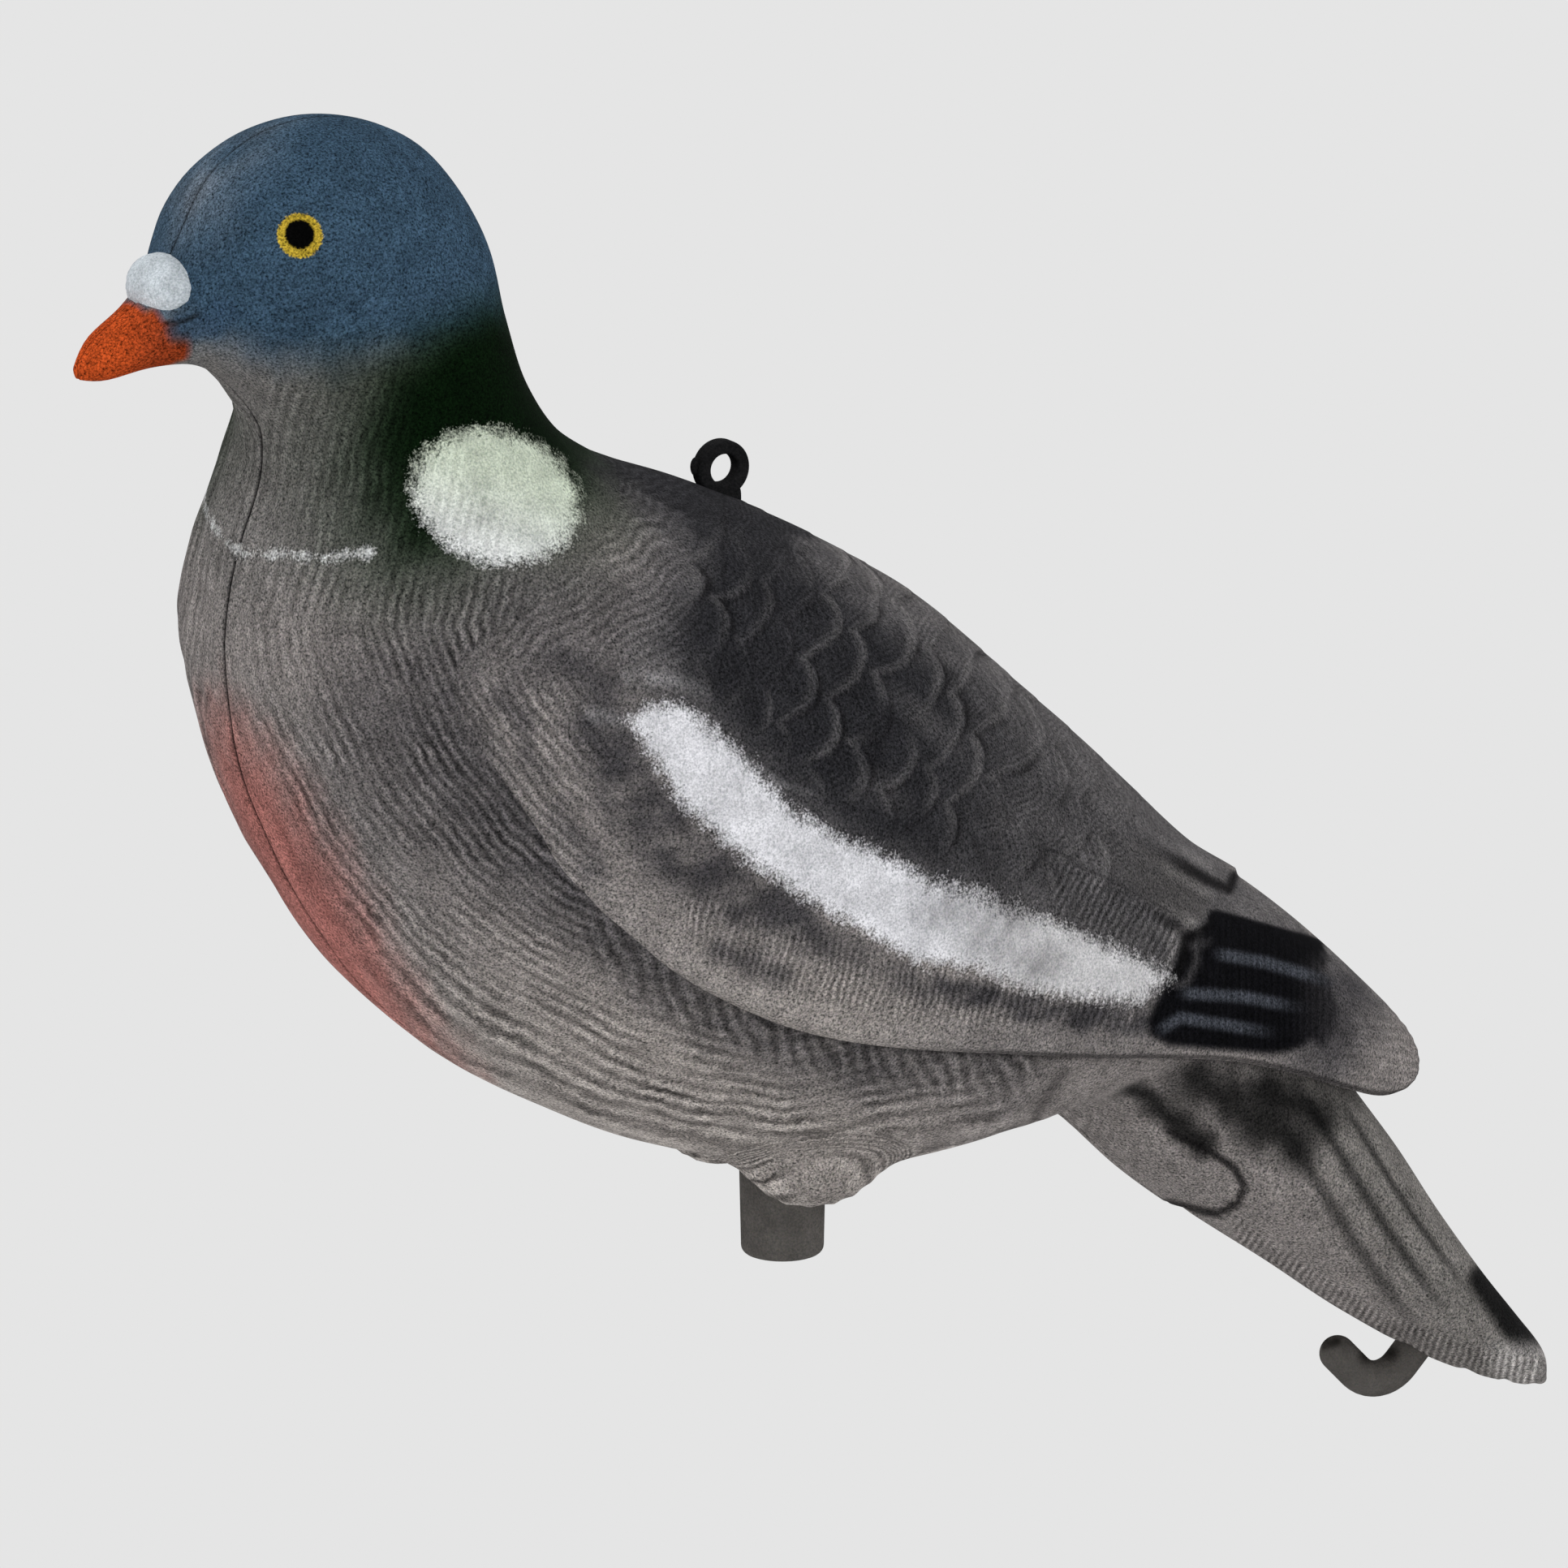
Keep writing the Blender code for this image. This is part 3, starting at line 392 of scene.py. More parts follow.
def coats(points, wing):
    at = stencil(points)
    soft = wobble(points, 24.0, 3) * 9.0
    fine = wobble(points, 7.0, 5) * 5.0
    spread = at + np.stack([soft + fine, soft - fine], -1)
    x, y = at[..., 0], at[..., 1]
    colour = np.ones(points.shape) * linear("flock")

    def spray(name, amount):
        nonlocal colour
        colour = lay(colour, name, amount)

    def patchy(base, size, length, seed):
        return np.clip(base + size * wobble(points, length, seed), 0, 1)

    spray("belly", step(y, 1100, 1300) * step(-x, -1250, -1000))
    spray("throat", step(-depthInside(headBlue, spread), -20, 40) * step(-y, -820, -640)
          * (1 - step(x, 520, 760)))
    spray("headBlue", within(headBlue, spread, -46, 34))
    # paler forehead, laid also as a painted highlight where the light falls on the top front of the head
    spray("foreheadAndHighlight", 0.95 * step(-(x + 0.6 * y), -500, -330) * step(-y, -350, -270)
          * patchy(0.8, 0.5, 9.0, 6))
    green = depthInside(neckGreen, spread)
    spray("neckGreen", 0.6 * step(green, -200, 0) * step(y, 380, 480))
    spray("neckGreen", step(green, -75, 30))
    spray("smudgeAndShade", 0.42 * step(x, 560, 650) * step(-x, -860, -780) * step(y, 660, 740) * step(-y, -900, -820))
    ridge = 0.9 * closeTo([(775, 565), (850, 598), (960, 655)], spread, 74, 8)
    edge = depthInside(closedOutline, points[..., [0, 2]])
    if wing:
        spray("mantleEdge", within(mantleDark, spread, -90, -10))
        spray("mantle", within(mantleDark, spread, -30, 50) * (1 - 0.7 * step(x, 1080, 1340)))
        gap, along = lineDistance(darkBand, spread)
        width = 52.0 - 30.0 * step(along, 150, 560)
        spray("smudgeAndShade", 0.86 * step(-gap, -width * 1.3, -width * 0.2)
              * (1 - 0.5 * step(-np.abs(x - 1070), -80, -30))
              * np.clip(0.84 + 0.32 * wobble(points, 13.0, 8) + 0.22 * wobble(points, 5.0, 18), 0.1, 1))
        for line, width in smudges:
            spray("smudgeAndShade", 0.55 * closeTo(line, spread, width * 1.6, 0) * patchy(0.85, 0.5, 9.0, 8))
        for line, width in barWisps:
            spray("barEnd", 0.34 * closeTo(line, at, width * 1.3, 0) * patchy(0.8, 0.6, 5.0, 7))
        _, tip, shade, _, _ = scaleField(points, at)
        zone = scaleZone(at)
        spray("fringe", 0.22 * zone * step(tip, 0.78, 0.92) * (1 - step(tip, 0.97, 1.0))
              * patchy(0.5, 1.1, 17.0, 9))
        spray("crease", 0.5 * zone * shade * patchy(0.4, 1.0, 21.0, 10))
        spray("mantleEdge", 0.5 * zone * patchy(-0.15, 1.0, 19.0, 12) * step(x, 900, 1150))
        spray("tertial", 0.55 * within(middleTertial, at, 0, 14) * step(x, 1330, 1450))
        spray("mantleEdge", 0.7 * within(upperTertial, spread, 0, 20) * step(x, 1230, 1400))
        spray("fringe", 0.12 * step(edge, 0.2, 1.0) * (1 - step(edge, 3.0, 9.0))
              * step(-x, -1500, -1300) * step(y, 940, 1080))
        # painted shade along the wing's front edge, carrying on the painted shade on the flank below
        spray("smudgeAndShade", 0.5 * (1 - step(edge, 0.0, 9.0)) * step(-x, -760, -660) * step(-y, -1040, -900))
        spray("mantle", ridge)
        plain = [(1514, 1088), (1560, 1100), (1640, 1165), (1720, 1250), (1660, 1225), (1621, 1165), (1497, 1128)]
        spray("mantleEdge", 0.8 * within(plain, spread, -14, 10))
        # the primaries' black paint, which at their front end also fills the painted shadow in the gap under the long
        # inner feathers
        dark = depthInside(primaryDark, at + (spread - at) * step(x, 1580, 1620)[..., None])
        spray("smudgeAndShade", 0.75 * step(dark, -75, -5) * step(x, 1540, 1640) * step(y, 1170, 1220))
        spray("primaryAndGapShade", step(dark, -7, 7) * (1 - 0.5 * step(x, 1585, 1655) * step(y, 1165, 1200)))
        for rib in primaryRibs:
            gap, along = lineDistance(rib, at)
            spray("rib", 0.8 * step(-gap, -12, -3) * step(along, 0, 25) * step(-along, -175, -110))
        # a painted shadow line in the gap between this wing's upper edge and the other wing's tip
        spray("primaryAndGapShade", closeTo(gapShadowLine, at, 12, 6))
        for line in lobeEnds:
            gap, along = lineDistance(line, at)
            spray("fringe", 0.25 * step(-np.abs(gap - 15), -10, 0) * step(along, 0, 90) * step(-x, -1500, -1490))
            # painted shadow just below the ends of the long inner feathers
            spray("crease", 0.75 * step(-gap, -10, -2) * step(along, 0, 90))
        # painted shade towards the wing's lower edge, with a dark painted line at the edge itself
        spray("smudgeAndShade", 0.16 * step(-edge, -9, -4) * step(x, 1050, 1250) * step(-x, -1500, -1400))
        spray("crease", 0.4 * step(-np.abs(edge - 0.7), -1.0, -0.2) * step(x, 1100, 1300))
    else:
        spray("mantle", ridge)
        spray("pink", 0.95 * within(breastPink, spread, -70, 35))
        # painted shade on the flank under the wing's front and lower edge
        gap, _ = lineDistance(flankShade, spread)
        reach = (74.0 + 140.0 * step(-x, -720, -600) * step(-y, -1180, -1000)
                 + 28.0 * step(x, 820, 920) * step(-x, -1160, -1060))
        spray("smudgeAndShade", (0.55 + 0.08 * step(y, 900, 1080)) * (1 - 0.35 * step(x, 1060, 1180))
              * step(-gap, -reach - 8, -6) * patchy(0.92, 0.2, 8.0, 8))
        spray("smudgeAndShade", 0.18 * step(x, 330, 430) * step(y, 740, 860) * step(-y, -1180, -1000))
        # painted shade on the body just below the wing's edge
        spray("crease", 0.9 * step(-np.abs(edge + 0.3), -1.7, -0.3)
              * (0.2 * step(x, 780, 950) + 0.4 * step(x, 1100, 1250)))
        upper, alongUpper = lineDistance(tailUpper, at)
        tail = step(x, 1420, 1620)
        spray("tailTop", tail * step(-upper, -150, -40))
        for place, width, depth, start in ((26, 8, 0.55, 40), (62, 12, 0.6, 0), (104, 16, 0.5, 0)):
            stripe = step(-np.abs(upper - place), -width, 0) * tail * step(alongUpper, start, start + 60)
            spray("tailDark", depth * stripe * (1 - step(alongUpper, 260, 380)))
        for line, width in (([(1400, 1345), (1440, 1370), (1480, 1412)], 20),
                            ([(1470, 1330), (1540, 1372), (1600, 1415)], 36),
                            ([(1560, 1345), (1620, 1372), (1640, 1390)], 24)):
            spray("tailDark", 0.85 * closeTo(line, spread, width * 1.5, 0))
        spray("tailDark", 0.95 * closeTo([(1826, 1576), (1856, 1620), (1886, 1662)], at, 26, 8))
        # painted shade below the edge of the undertail lobe and in the crease where the tail leaves the body
        gap, along = lineDistance(undertailLobe[2:], at)
        spray("crease", 0.7 * step(-gap, -8, -2) * step(along, 20, 60))
        spray("crease", 0.3 * closeTo([(1275, 1379), (1290, 1350), (1313, 1319)], at, 10, 2))
        # bill
        billShape = [(80, 380), (165, 372), (200, 392), (232, 418), (232, 440), (160, 470), (80, 480)]
        spray("bill", within(billShape, at, -3, 3))
        spray("billShade", 0.8 * within(billShape, at, -3, 3) * step(x, 140, 200))
        spray("mouthBlue", 0.8 * closeTo([(222, 405), (262, 400), (275, 385)], at, 26, 8))
        # painted shade in the mouth fold
        spray("tailDark", 0.5 * closeTo([(206, 398), (224, 397), (243, 388)], at, 5, 1))
        spray("fringe", 0.8 * step(x - 0.4 * y, 1150, 1182) * step(y, 1640, 1670) * step(-upper, -200, -30))
        # painted shade in the seam groove, stronger lower down
        seam = 0.25 + 0.5 * step(y, 430, 500)
        spray("crease", seam * step(x, 150, 215) * step(-np.abs(points[..., 1]), -0.75, -0.15))
    return colour


def paleCoat(points, wing):
    # colour of the white flocking, and how deep inside its stencil a point is, in mm
    at = stencil(points)
    x, y = at[..., 0], at[..., 1]
    lean = math.radians(neckPatch["lean"])
    off = at - np.array(neckPatch["centre"])
    off = np.stack([off[..., 0] * math.cos(lean) + off[..., 1] * math.sin(lean),
                    -off[..., 0] * math.sin(lean) + off[..., 1] * math.cos(lean)], -1)
    radius = np.hypot(*np.moveaxis(off / np.array(neckPatch["half"]), -1, 0))
    tint = lay(np.ones(points.shape) * linear("bar"), "barEnd", step(x, 1100, 1300))
    neck = step(-x, -760, -730) * step(-y, -800, -760)
    tint = lay(tint, "patchEdge", neck)
    tint = lay(tint, "patchCore", neck * step(-y + 0.3 * (x - 600), -700, -560))
    depth = (1 - radius) * 88 * pixel
    if wing:
        depth = np.maximum(depth, depthInside(wingBar, at) * pixel)
        for line, width in (([(1143, 1112), (1250, 1128)], 30), ([(1215, 1165), (1290, 1190)], 26)):
            depth = depth - 1.5 * closeTo(line, at, width, 0) * (depth > -2)
            tint = lay(tint, "smudgeAndShade", 0.24 * closeTo(line, at, width * 1.5, 0)
                       * (0.85 + 0.3 * wobble(points, 3.0, 44)))
        depth = depth - 0.6 * step(x, 1120, 1260) * (depth > -2)
    else:
        gap, _ = lineDistance(collar, at)
        depth = np.maximum(depth, 0.6 - gap * pixel * 1.6 + 0.9 * wobble(points, 8.0, 41))
    return tint, np.clip(depth, -20.0, 20.0)


def finePattern(points, wing):
    # carved lines too fine for the mesh: place across them in lines, and their strength
    at = stencil(points)
    x, y = at[..., 0], at[..., 1]
    if wing:
        _, _, _, along, side = scaleField(points, at)
        barbs = (along + 0.8 * side) / 9.5
        barbDepth = scaleZone(at) * 0.16
        ribbed = within([(1290, 1050), (1440, 1125), (1456, 1160), (1452, 1196), (1420, 1186), (1300, 1128)],
                        at, -6, 10)
        barbs = np.where(ribbed > 0.05, (x * 0.9 + y * 0.45) / 9.0, barbs)
        barbDepth = np.maximum(barbDepth * (ribbed <= 0.05), 0.4 * ribbed)
        strokes = step(-x, -900, -800) * step(-y, -860, -780)
        barbs = np.where(strokes > 0.02, (0.6 * x + 0.8 * y) / 15.0 + 0.7 * wobble(points, 14.0, 35), barbs)
        barbDepth = np.maximum(barbDepth * (strokes <= 0.02), 0.26 * strokes)
        below = within([(840, 1100), (1000, 1150), (1200, 1205), (1420, 1235), (1420, 1268), (1240, 1268),
                        (1000, 1236), (840, 1160)], at, -14, 14)
        lineAt = (x + 0.25 * y) / 9.0 + 0.35 * wobble(points, 12.0, 33)
        lineDepth = 0.36 * below
        tipRibs = step(x, 1640, 1680) * step(y, 1225, 1262)
        feather = within(primaryDark, at, 2, 8)
        lineAt = np.where(x > 1400, (y - 0.12 * x) / 13.0, lineAt)
        lineAt = np.where(feather > 0, x / 8.0, lineAt)
        lineDepth = np.maximum(lineDepth * (x <= 1400), np.maximum(0.10 * tipRibs, 0.2 * feather))
        gap, _ = lineDistance(frontLine, at)
        front = step(y, 800, 860) * step(-x, -800, -680)
        lineAt = np.where(front > 0.02, (gap + 7.0 * wobble(points, 34.0, 11) + 1.6 * wobble(points, 10.0, 12))
                          / reliefSet["linePitch"], lineAt)
        lineDepth = np.maximum(lineDepth * (front <= 0.02), 0.30 * front)
        return lineAt, lineDepth, barbs, barbDepth
    thighGap = np.linalg.norm(points - np.array([-4.0, -17.0, 24.0]), axis=-1)
    thighNear = 1 - step(thighGap, 13.0, 22.0)
    # the lines run side by side with the front of the neck and breast and the belly
    gap, _ = lineDistance(frontLine, at)
    across = gap - 26.0 * (1.0 - np.exp(-gap / 40.0))
    across = across + 7.0 * wobble(points, 34.0, 11) + 1.6 * wobble(points, 10.0, 12)
    lineAt = across / reliefSet["linePitch"] * (1 - thighNear) + thighGap / 1.9 * thighNear
    breast = within([(240, 470), (420, 430), (520, 430), (700, 800), (900, 1150), (1240, 1290), (1400, 1420),
                     (1200, 1460), (900, 1560), (600, 1500), (150, 900)], at, -30, 60)
    lineDepth = 0.46 * breast * np.clip(0.75 + 0.6 * wobble(points, 17.0, 13), 0.15, 1.2)
    lineDepth = lineDepth * (1 - 0.6 * within(breastPink, at, -40, 20))
    patch = np.hypot((x - 608) / 115, (y - 612) / 95)
    lineDepth = lineDepth * (0.3 + 0.7 * step(patch, 0.9, 1.1))
    lineDepth = lineDepth * (0.55 + 0.45 * step(x + 0.6 * y, 820, 1000))
    eyeGap = np.hypot(x - eyePlace[0], y - eyePlace[1]) * pixel
    head = (1 - step(y, 400, 520)) * step(eyeGap, 6.0, 12.0) * (1 - step(x, 900, 1000))
    onHead = y < 425 + 0.15 * (x - 300)
    lineAt = np.where(onHead, (eyeGap + 1.2 * wobble(points, 22.0, 14)) / 2.6, lineAt)
    lineDepth = np.where(onHead, 0.09 * head * np.clip(0.6 + 0.8 * wobble(points, 24.0, 17), 0.1, 1.3),
                         lineDepth * step(y, 425, 480))
    # hatching under the wing and barbs along the tail's edge
    barbs = (0.94 * x - 0.34 * y) / 21.0 + 0.25 * wobble(points, 15.0, 34)
    hatched = closeTo(flankShade[3:], at, 60, 20)
    barbDepth = 0.42 * hatched
    lineDepth = lineDepth * (1 - 0.7 * hatched)
    gap, along = lineDistance(tailLower, at)
    onTail = step(x, 1500, 1540)
    barbs = np.where(x > 1400, along / 9.0, barbs)
    barbDepth = np.where(x > 1400, 0.42 * onTail * step(-gap, -36, -24), barbDepth)
    lineAt = np.where(x > 1400, (x * 0.8 - y * 0.6) / 11.0, lineAt)
    return lineAt, lineDepth, barbs, barbDepth


reliefSet = {"linePitch": 14.0, "breastDepth": 0.22, "scaleRise": 0.42, "seamDepth": 0.5}


def bodyRelief(points, where):
    at = stencil(points)
    x, y = at[..., 0], at[..., 1]
    lift = np.zeros(points.shape[:-1])
    # every second carved line is deep enough for the mesh
    lineAt, lineDepth, _, _ = finePattern(points, False)
    lift += reliefSet["breastDepth"] * step(lineDepth, 0.08, 0.3) * np.sin(lineAt * math.pi)
    # soft bumps along the back of the neck and the breast
    lift += 0.18 * wobble(points, 26.0, 16)
    # tail: lobe of the undertail coverts, steps between the long feathers
    tail = step(where, 25.0, 26.5)
    lobe = depthInside(undertailLobe, at) * pixel
    lift += 0.9 * tail * step(lobe, -0.5, 0.7) - 0.4 * tail * step(-np.abs(lobe + 0.4), -1.2, 0.0)
    upper, along = lineDistance(tailUpper, at)
    fan = upper * pixel + 0.5 * wobble(points, 60.0, 15)
    for place, deep in ((3.4, 0.5), (7.8, 0.6), (13.5, 0.65), (20.5, 0.45)):
        cut = np.exp(-((fan - place) / 0.8) ** 2)
        lift -= deep * cut * step(along, 70, 150) * step(where, 26.5, 28.5)
    # short crease where the tail leaves the body
    crease, _ = lineDistance([(1275, 1377), (1313, 1319)], at)
    lift -= 0.6 * np.exp(-(crease * pixel / 0.8) ** 2) * step(where, 23.0, 25.0)
    mouth, _ = lineDistance([(206, 398), (224, 397), (243, 388)], at)
    lift -= 0.5 * np.exp(-(mouth * pixel / 0.7) ** 2) * (1 - step(where, 6.0, 8.0))
    # the seam's rounded edges
    seam = reliefSet["seamDepth"] * (0.4 + 0.6 * step(y, 430, 500))
    return lift - seam * np.exp(-(np.abs(points[..., 1]) / 0.6) ** 2)


def wingRelief(points, edgeGap):
    at = stencil(points)
    x, y = at[..., 0], at[..., 1]
    height, _, _, _, _ = scaleField(points, at)
    lift = reliefSet["scaleRise"] * scaleZone(at) * (height - 0.5) * (1 - 0.5 * step(x, 1200, 1450))
    # layers over the primaries: coverts, then the long inner feathers
    lift += 0.6 * within(covertLayer, at, -2, 3) * step(x, 1250, 1400)
    lift += 0.4 * within(middleTertial, at, -2, 4) * step(x, 1250, 1400)
    lift += 0.45 * within(upperTertial, at, -2, 4) * step(x, 1200, 1400)
    for rib in primaryRibs:
        gap, along = lineDistance(rib, at)
        lift += 0.4 * np.exp(-(gap / 6.0) ** 2) * step(along, 0, 20)
    ribs = step(x, 1640, 1680) * step(y, 1225, 1262)
    lift += 0.08 * ribs * np.sin((y - 0.12 * x) / 13.0 * 2 * math.pi)
    # a soft ridge along the front and lower edge; in front the wing grows out of the breast
    lift += 0.5 * np.exp(-((edgeGap - 2.8) / 1.8) ** 2) * step(-x, -1500, -1300) * step(y, 940, 1100)
    return lift


print("stencils and relief ready")


def closedGrid(name, outer, inner=None):
    # outer is a grid of points; inner, where given, is the other side of a blade
    n, m = outer.shape[:2]
    verts = outer.reshape(-1, 3)
    index = np.arange(n * m).reshape(n, m)
    quads = np.stack([index[:-1, :-1], index[1:, :-1], index[1:, 1:], index[:-1, 1:]], -1).reshape(-1, 4)
    faces = [tuple(int(k) for k in quad) for quad in quads]
    if inner is None:
        for k in range(n - 1):
            faces.append((int(index[k, 0]), int(index[k, -1]), int(index[k + 1, -1]), int(index[k + 1, 0])))
        faces.append(tuple(int(k) for k in index[0]))
        faces.append(tuple(int(k) for k in index[-1][::-1]))
    else:
        verts = np.vstack([verts, inner.reshape(-1, 3)])
        under = index + n * m
        faces += [tuple(int(k) for k in quad[::-1]) for quad in quads + n * m]
        border = ([(0, j) for j in range(m)] + [(i, m - 1) for i in range(1, n)]
                  + [(n - 1, j) for j in range(m - 2, -1, -1)] + [(i, 0) for i in range(n - 2, 0, -1)])
        for a, b in zip(border, border[1:] + border[:1]):
            faces.append((int(index[a]), int(index[b]), int(under[b]), int(under[a])))
    mesh = bpy.data.meshes.new(name)
    mesh.from_pydata([tuple(v) for v in verts * mm], [], faces)
    mesh.update()
    return mesh


def shadeSmooth(mesh):
    mesh.polygons.foreach_set("use_smooth", [True] * len(mesh.polygons))


def meshOf(shape, name):
    # a finished bmesh as a smooth mesh
    mesh = bpy.data.meshes.new(name)
    shape.to_mesh(mesh)
    shape.free()
    shadeSmooth(mesh)
    return mesh


def tidyMesh(mesh):
    shape = bmesh.new()
    shape.from_mesh(mesh)
    bmesh.ops.remove_doubles(shape, verts=shape.verts, dist=1e-6)
    bmesh.ops.recalc_face_normals(shape, faces=shape.faces)
    shape.to_mesh(mesh)
    shape.free()
    shadeSmooth(mesh)


def addObject(name, mesh):
    thing = bpy.data.objects.new(name, mesh)
    bpy.context.scene.collection.objects.link(thing)
    return thing


def meshPoints(mesh):
    flat = np.zeros(len(mesh.vertices) * 3)
    mesh.vertices.foreach_get("co", flat)
    return flat.reshape(-1, 3) / mm


def setLayer(mesh, name, values):
    # one number or one colour for each vertex
    if values.ndim == 1:
        mesh.attributes.new(name, "FLOAT", "POINT").data.foreach_set("value", values.astype(np.float32))
    else:
        four = np.concatenate([values, np.ones((len(values), 1))], 1).astype(np.float32)
        mesh.attributes.new(name, "FLOAT_COLOR", "POINT").data.foreach_set("color", four.ravel())


def paintMesh(mesh, wing):
    points = meshPoints(mesh)
    names = ("coat", "pale", "paleDepth", "lineAt", "lineDepth", "barbAt", "barbDepth")
    for name, values in zip(names, (coats(points, wing), *paleCoat(points, wing), *finePattern(points, wing))):
        setLayer(mesh, name, values)


def mirrored(mesh, name):
    copy = mesh.copy()
    copy.name = name
    shape = bmesh.new()
    shape.from_mesh(copy)
    bmesh.ops.scale(shape, vec=(1, -1, 1), verts=shape.verts)
    bmesh.ops.reverse_faces(shape, faces=shape.faces)
    shape.to_mesh(copy)
    shape.free()
    return copy


# body half
bodySet = {"rings": 320, "columns": 262, "crowding": 0.35}
where = ringPlaces(bodyRows, 0.0, len(bodyRows) - 1.0, bodySet["rings"])
share = np.linspace(0.0, 1.0, bodySet["columns"])
angleRow = math.pi * (share - bodySet["crowding"] * np.sin(2 * math.pi * share) / (2 * math.pi))
angle = np.repeat(angleRow[None, :], len(where), 0)
base = loftPoints(bodyRows, where, angle)
normal = gridNormals(base)
lift = bodyRelief(base, np.repeat(where[:, None], angle.shape[1], 1))
body = base + normal * lift[..., None]

# thighs swell out of the belly
thigh = {"centre": (-3.0, -17.5, 23.6), "radii": (14.6, 11.4, 8.9), "blend": 14}
scaled = (body - np.array(thigh["centre"])) / np.array(thigh["radii"])
ray = normal / np.array(thigh["radii"])
a, b = (ray * ray).sum(-1), (ray * scaled).sum(-1)
c = (scaled * scaled).sum(-1) - 1.0
reach = b * b - a * c
exitRun = np.where(reach > 0, (-b + np.sqrt(np.maximum(reach, 0.0))) / a, 0.0)
exitRun = np.clip(exitRun, 0.0, 12.0) * (body[..., 2] < 45.0)
for _ in range(thigh["blend"]):
    exitRun[1:-1, 1:-1] = (2 * exitRun[1:-1, 1:-1] + exitRun[:-2, 1:-1] + exitRun[2:, 1:-1]
                           + exitRun[1:-1, :-2] + exitRun[1:-1, 2:]) / 6
body = body + normal * exitRun[..., None]
body[..., 1] = np.minimum(body[..., 1], -seamHalf)
body[..., 0] = np.clip(body[..., 0], -156.1, 180.0)
leftMesh = closedGrid("leftSkin", body)
tidyMesh(leftMesh)
paintMesh(leftMesh, False)
print("body halves:", len(leftMesh.polygons), "faces each")

# wing blade
wingSet = {"rings": 316, "columns": 150, "thickness": 3.4, "notchStart": 121.0, "notchHalf": 5.5,
           "fade": 22.0, "lip": 0.35}
probe = np.linspace(0.0, math.pi, 500)


def wingRange(where):
    grid = loftPoints(wingRows, where, np.repeat(probe[None, :], len(where), 0))
    gap = depthInside(closedOutline, grid[..., [0, 2]])
    notch = wingSet["notchHalf"] * np.clip((grid[..., 0] - wingSet["notchStart"]) / 24.0, 0.0, 1.0)
    gap = np.minimum(gap, -grid[..., 1] - notch - seamHalf)
    first, last = np.zeros(len(where)), np.zeros(len(where))
    for k in range(len(where)):
        inside = np.nonzero(gap[k] > 0)[0]
        if len(inside) < 2:
            continue
        i, j = inside[0], inside[-1]
        first[k], last[k] = probe[i], probe[j]
        if i > 0:
            first[k] = np.interp(0.0, [gap[k, i - 1], gap[k, i]], [probe[i - 1], probe[i]])
        if j < len(probe) - 1:
            last[k] = np.interp(0.0, [gap[k, j + 1], gap[k, j]], [probe[j + 1], probe[j]])
    return first, last


trial = np.linspace(0.0, len(wingRows) - 1.0, 800)
first, last = wingRange(trial)
wide = trial[(last - first) > 0.02]
wingWhere = ringPlaces(wingRows, wide[0], wide[-1], wingSet["rings"])
first, last = wingRange(wingWhere)
share = np.linspace(0.0, 1.0, wingSet["columns"])[None, :]
share = share + 0.35 * np.sin(math.pi * share) * np.cos(math.pi * share) / math.pi * -1.0
wingAngle = first[:, None] + (last - first)[:, None] * share
wingBase = loftPoints(wingRows, wingWhere, wingAngle)
wingNormal = gridNormals(wingBase)
edgeGap = depthInside(closedOutline, wingBase[..., [0, 2]])
lift = wingRelief(wingBase, edgeGap) - 0.7 * (1 - step(edgeGap, 0.0, 1.6)) ** 2
# in front the wing grows out of the breast, so there its height over the body fades to the edge
rows, columns = base.shape[:2]
grid = np.arange(rows * columns).reshape(rows, columns)
cells = np.stack([grid[:-1, :-1], grid[1:, :-1], grid[1:, 1:], grid[:-1, 1:]], -1).reshape(-1, 4)
bodyTree = BVHTree.FromPolygons([tuple(p) for p in base.reshape(-1, 3)], [tuple(int(k) for k in c) for c in cells])
fade = step(-stencil(wingBase)[..., 0], -980, -780) * (1 - step(edgeGap, 0.0, wingSet["fade"]))
for i, j in zip(*np.nonzero(fade > 0.01)):
    near, _, _, _ = bodyTree.find_nearest([float(c) for c in wingBase[i, j]])
    height = float((wingBase[i, j] - np.array(near)) @ wingNormal[i, j])
    lift[i, j] -= fade[i, j] * max(height - wingSet["lip"], 0.0)
wing = wingBase + wingNormal * lift[..., None]
thick = wingSet["thickness"] * (0.25 + 0.75 * step(edgeGap, 0.0, 3.0))
under = wing - wingNormal * thick[..., None]
under[..., 1] = np.minimum(under[..., 1], -seamHalf)
wing[..., 1] = np.clip(wing[..., 1], -62.55, -seamHalf)
leftWingMesh = closedGrid("leftWing", wing, under)
tidyMesh(leftWingMesh)
paintMesh(leftWingMesh, True)
print("wings:", len(leftWingMesh.polygons), "faces each")


class Nodes:
    # short hand for building a node tree; an input is given a value or the socket that feeds it
    def __init__(self, tree):
        self.tree = tree
        tree.nodes.clear()

    def add(self, kind, values=None, **settings):
        node = self.tree.nodes.new(kind)
        for key, value in settings.items():
            setattr(node, key, value)
        for key, value in (values or {}).items():
            if isinstance(value, bpy.types.NodeSocket):
                self.tree.links.new(value, node.inputs[key])
            elif isinstance(value, np.ndarray):
                node.inputs[key].default_value = (*[float(v) for v in value], 1.0)
            else:
                node.inputs[key].default_value = value
        return node

    def math(self, operation, *values, clamp=False):
        return self.add("ShaderNodeMath", dict(enumerate(values)), operation=operation, use_clamp=clamp).outputs[0]

    def mix(self, blend, amount, first, second):
        return self.add("ShaderNodeMix", {0: amount, 6: first, 7: second}, data_type="RGBA",
                        blend_type=blend).outputs[2]


flockSet = {"fibre": 2100.0, "clump": 420.0, "mottle": 150.0, "speckle": 0.85, "hue": 0.10, "bump": 0.6,
            "edgeNoise": 5.0}


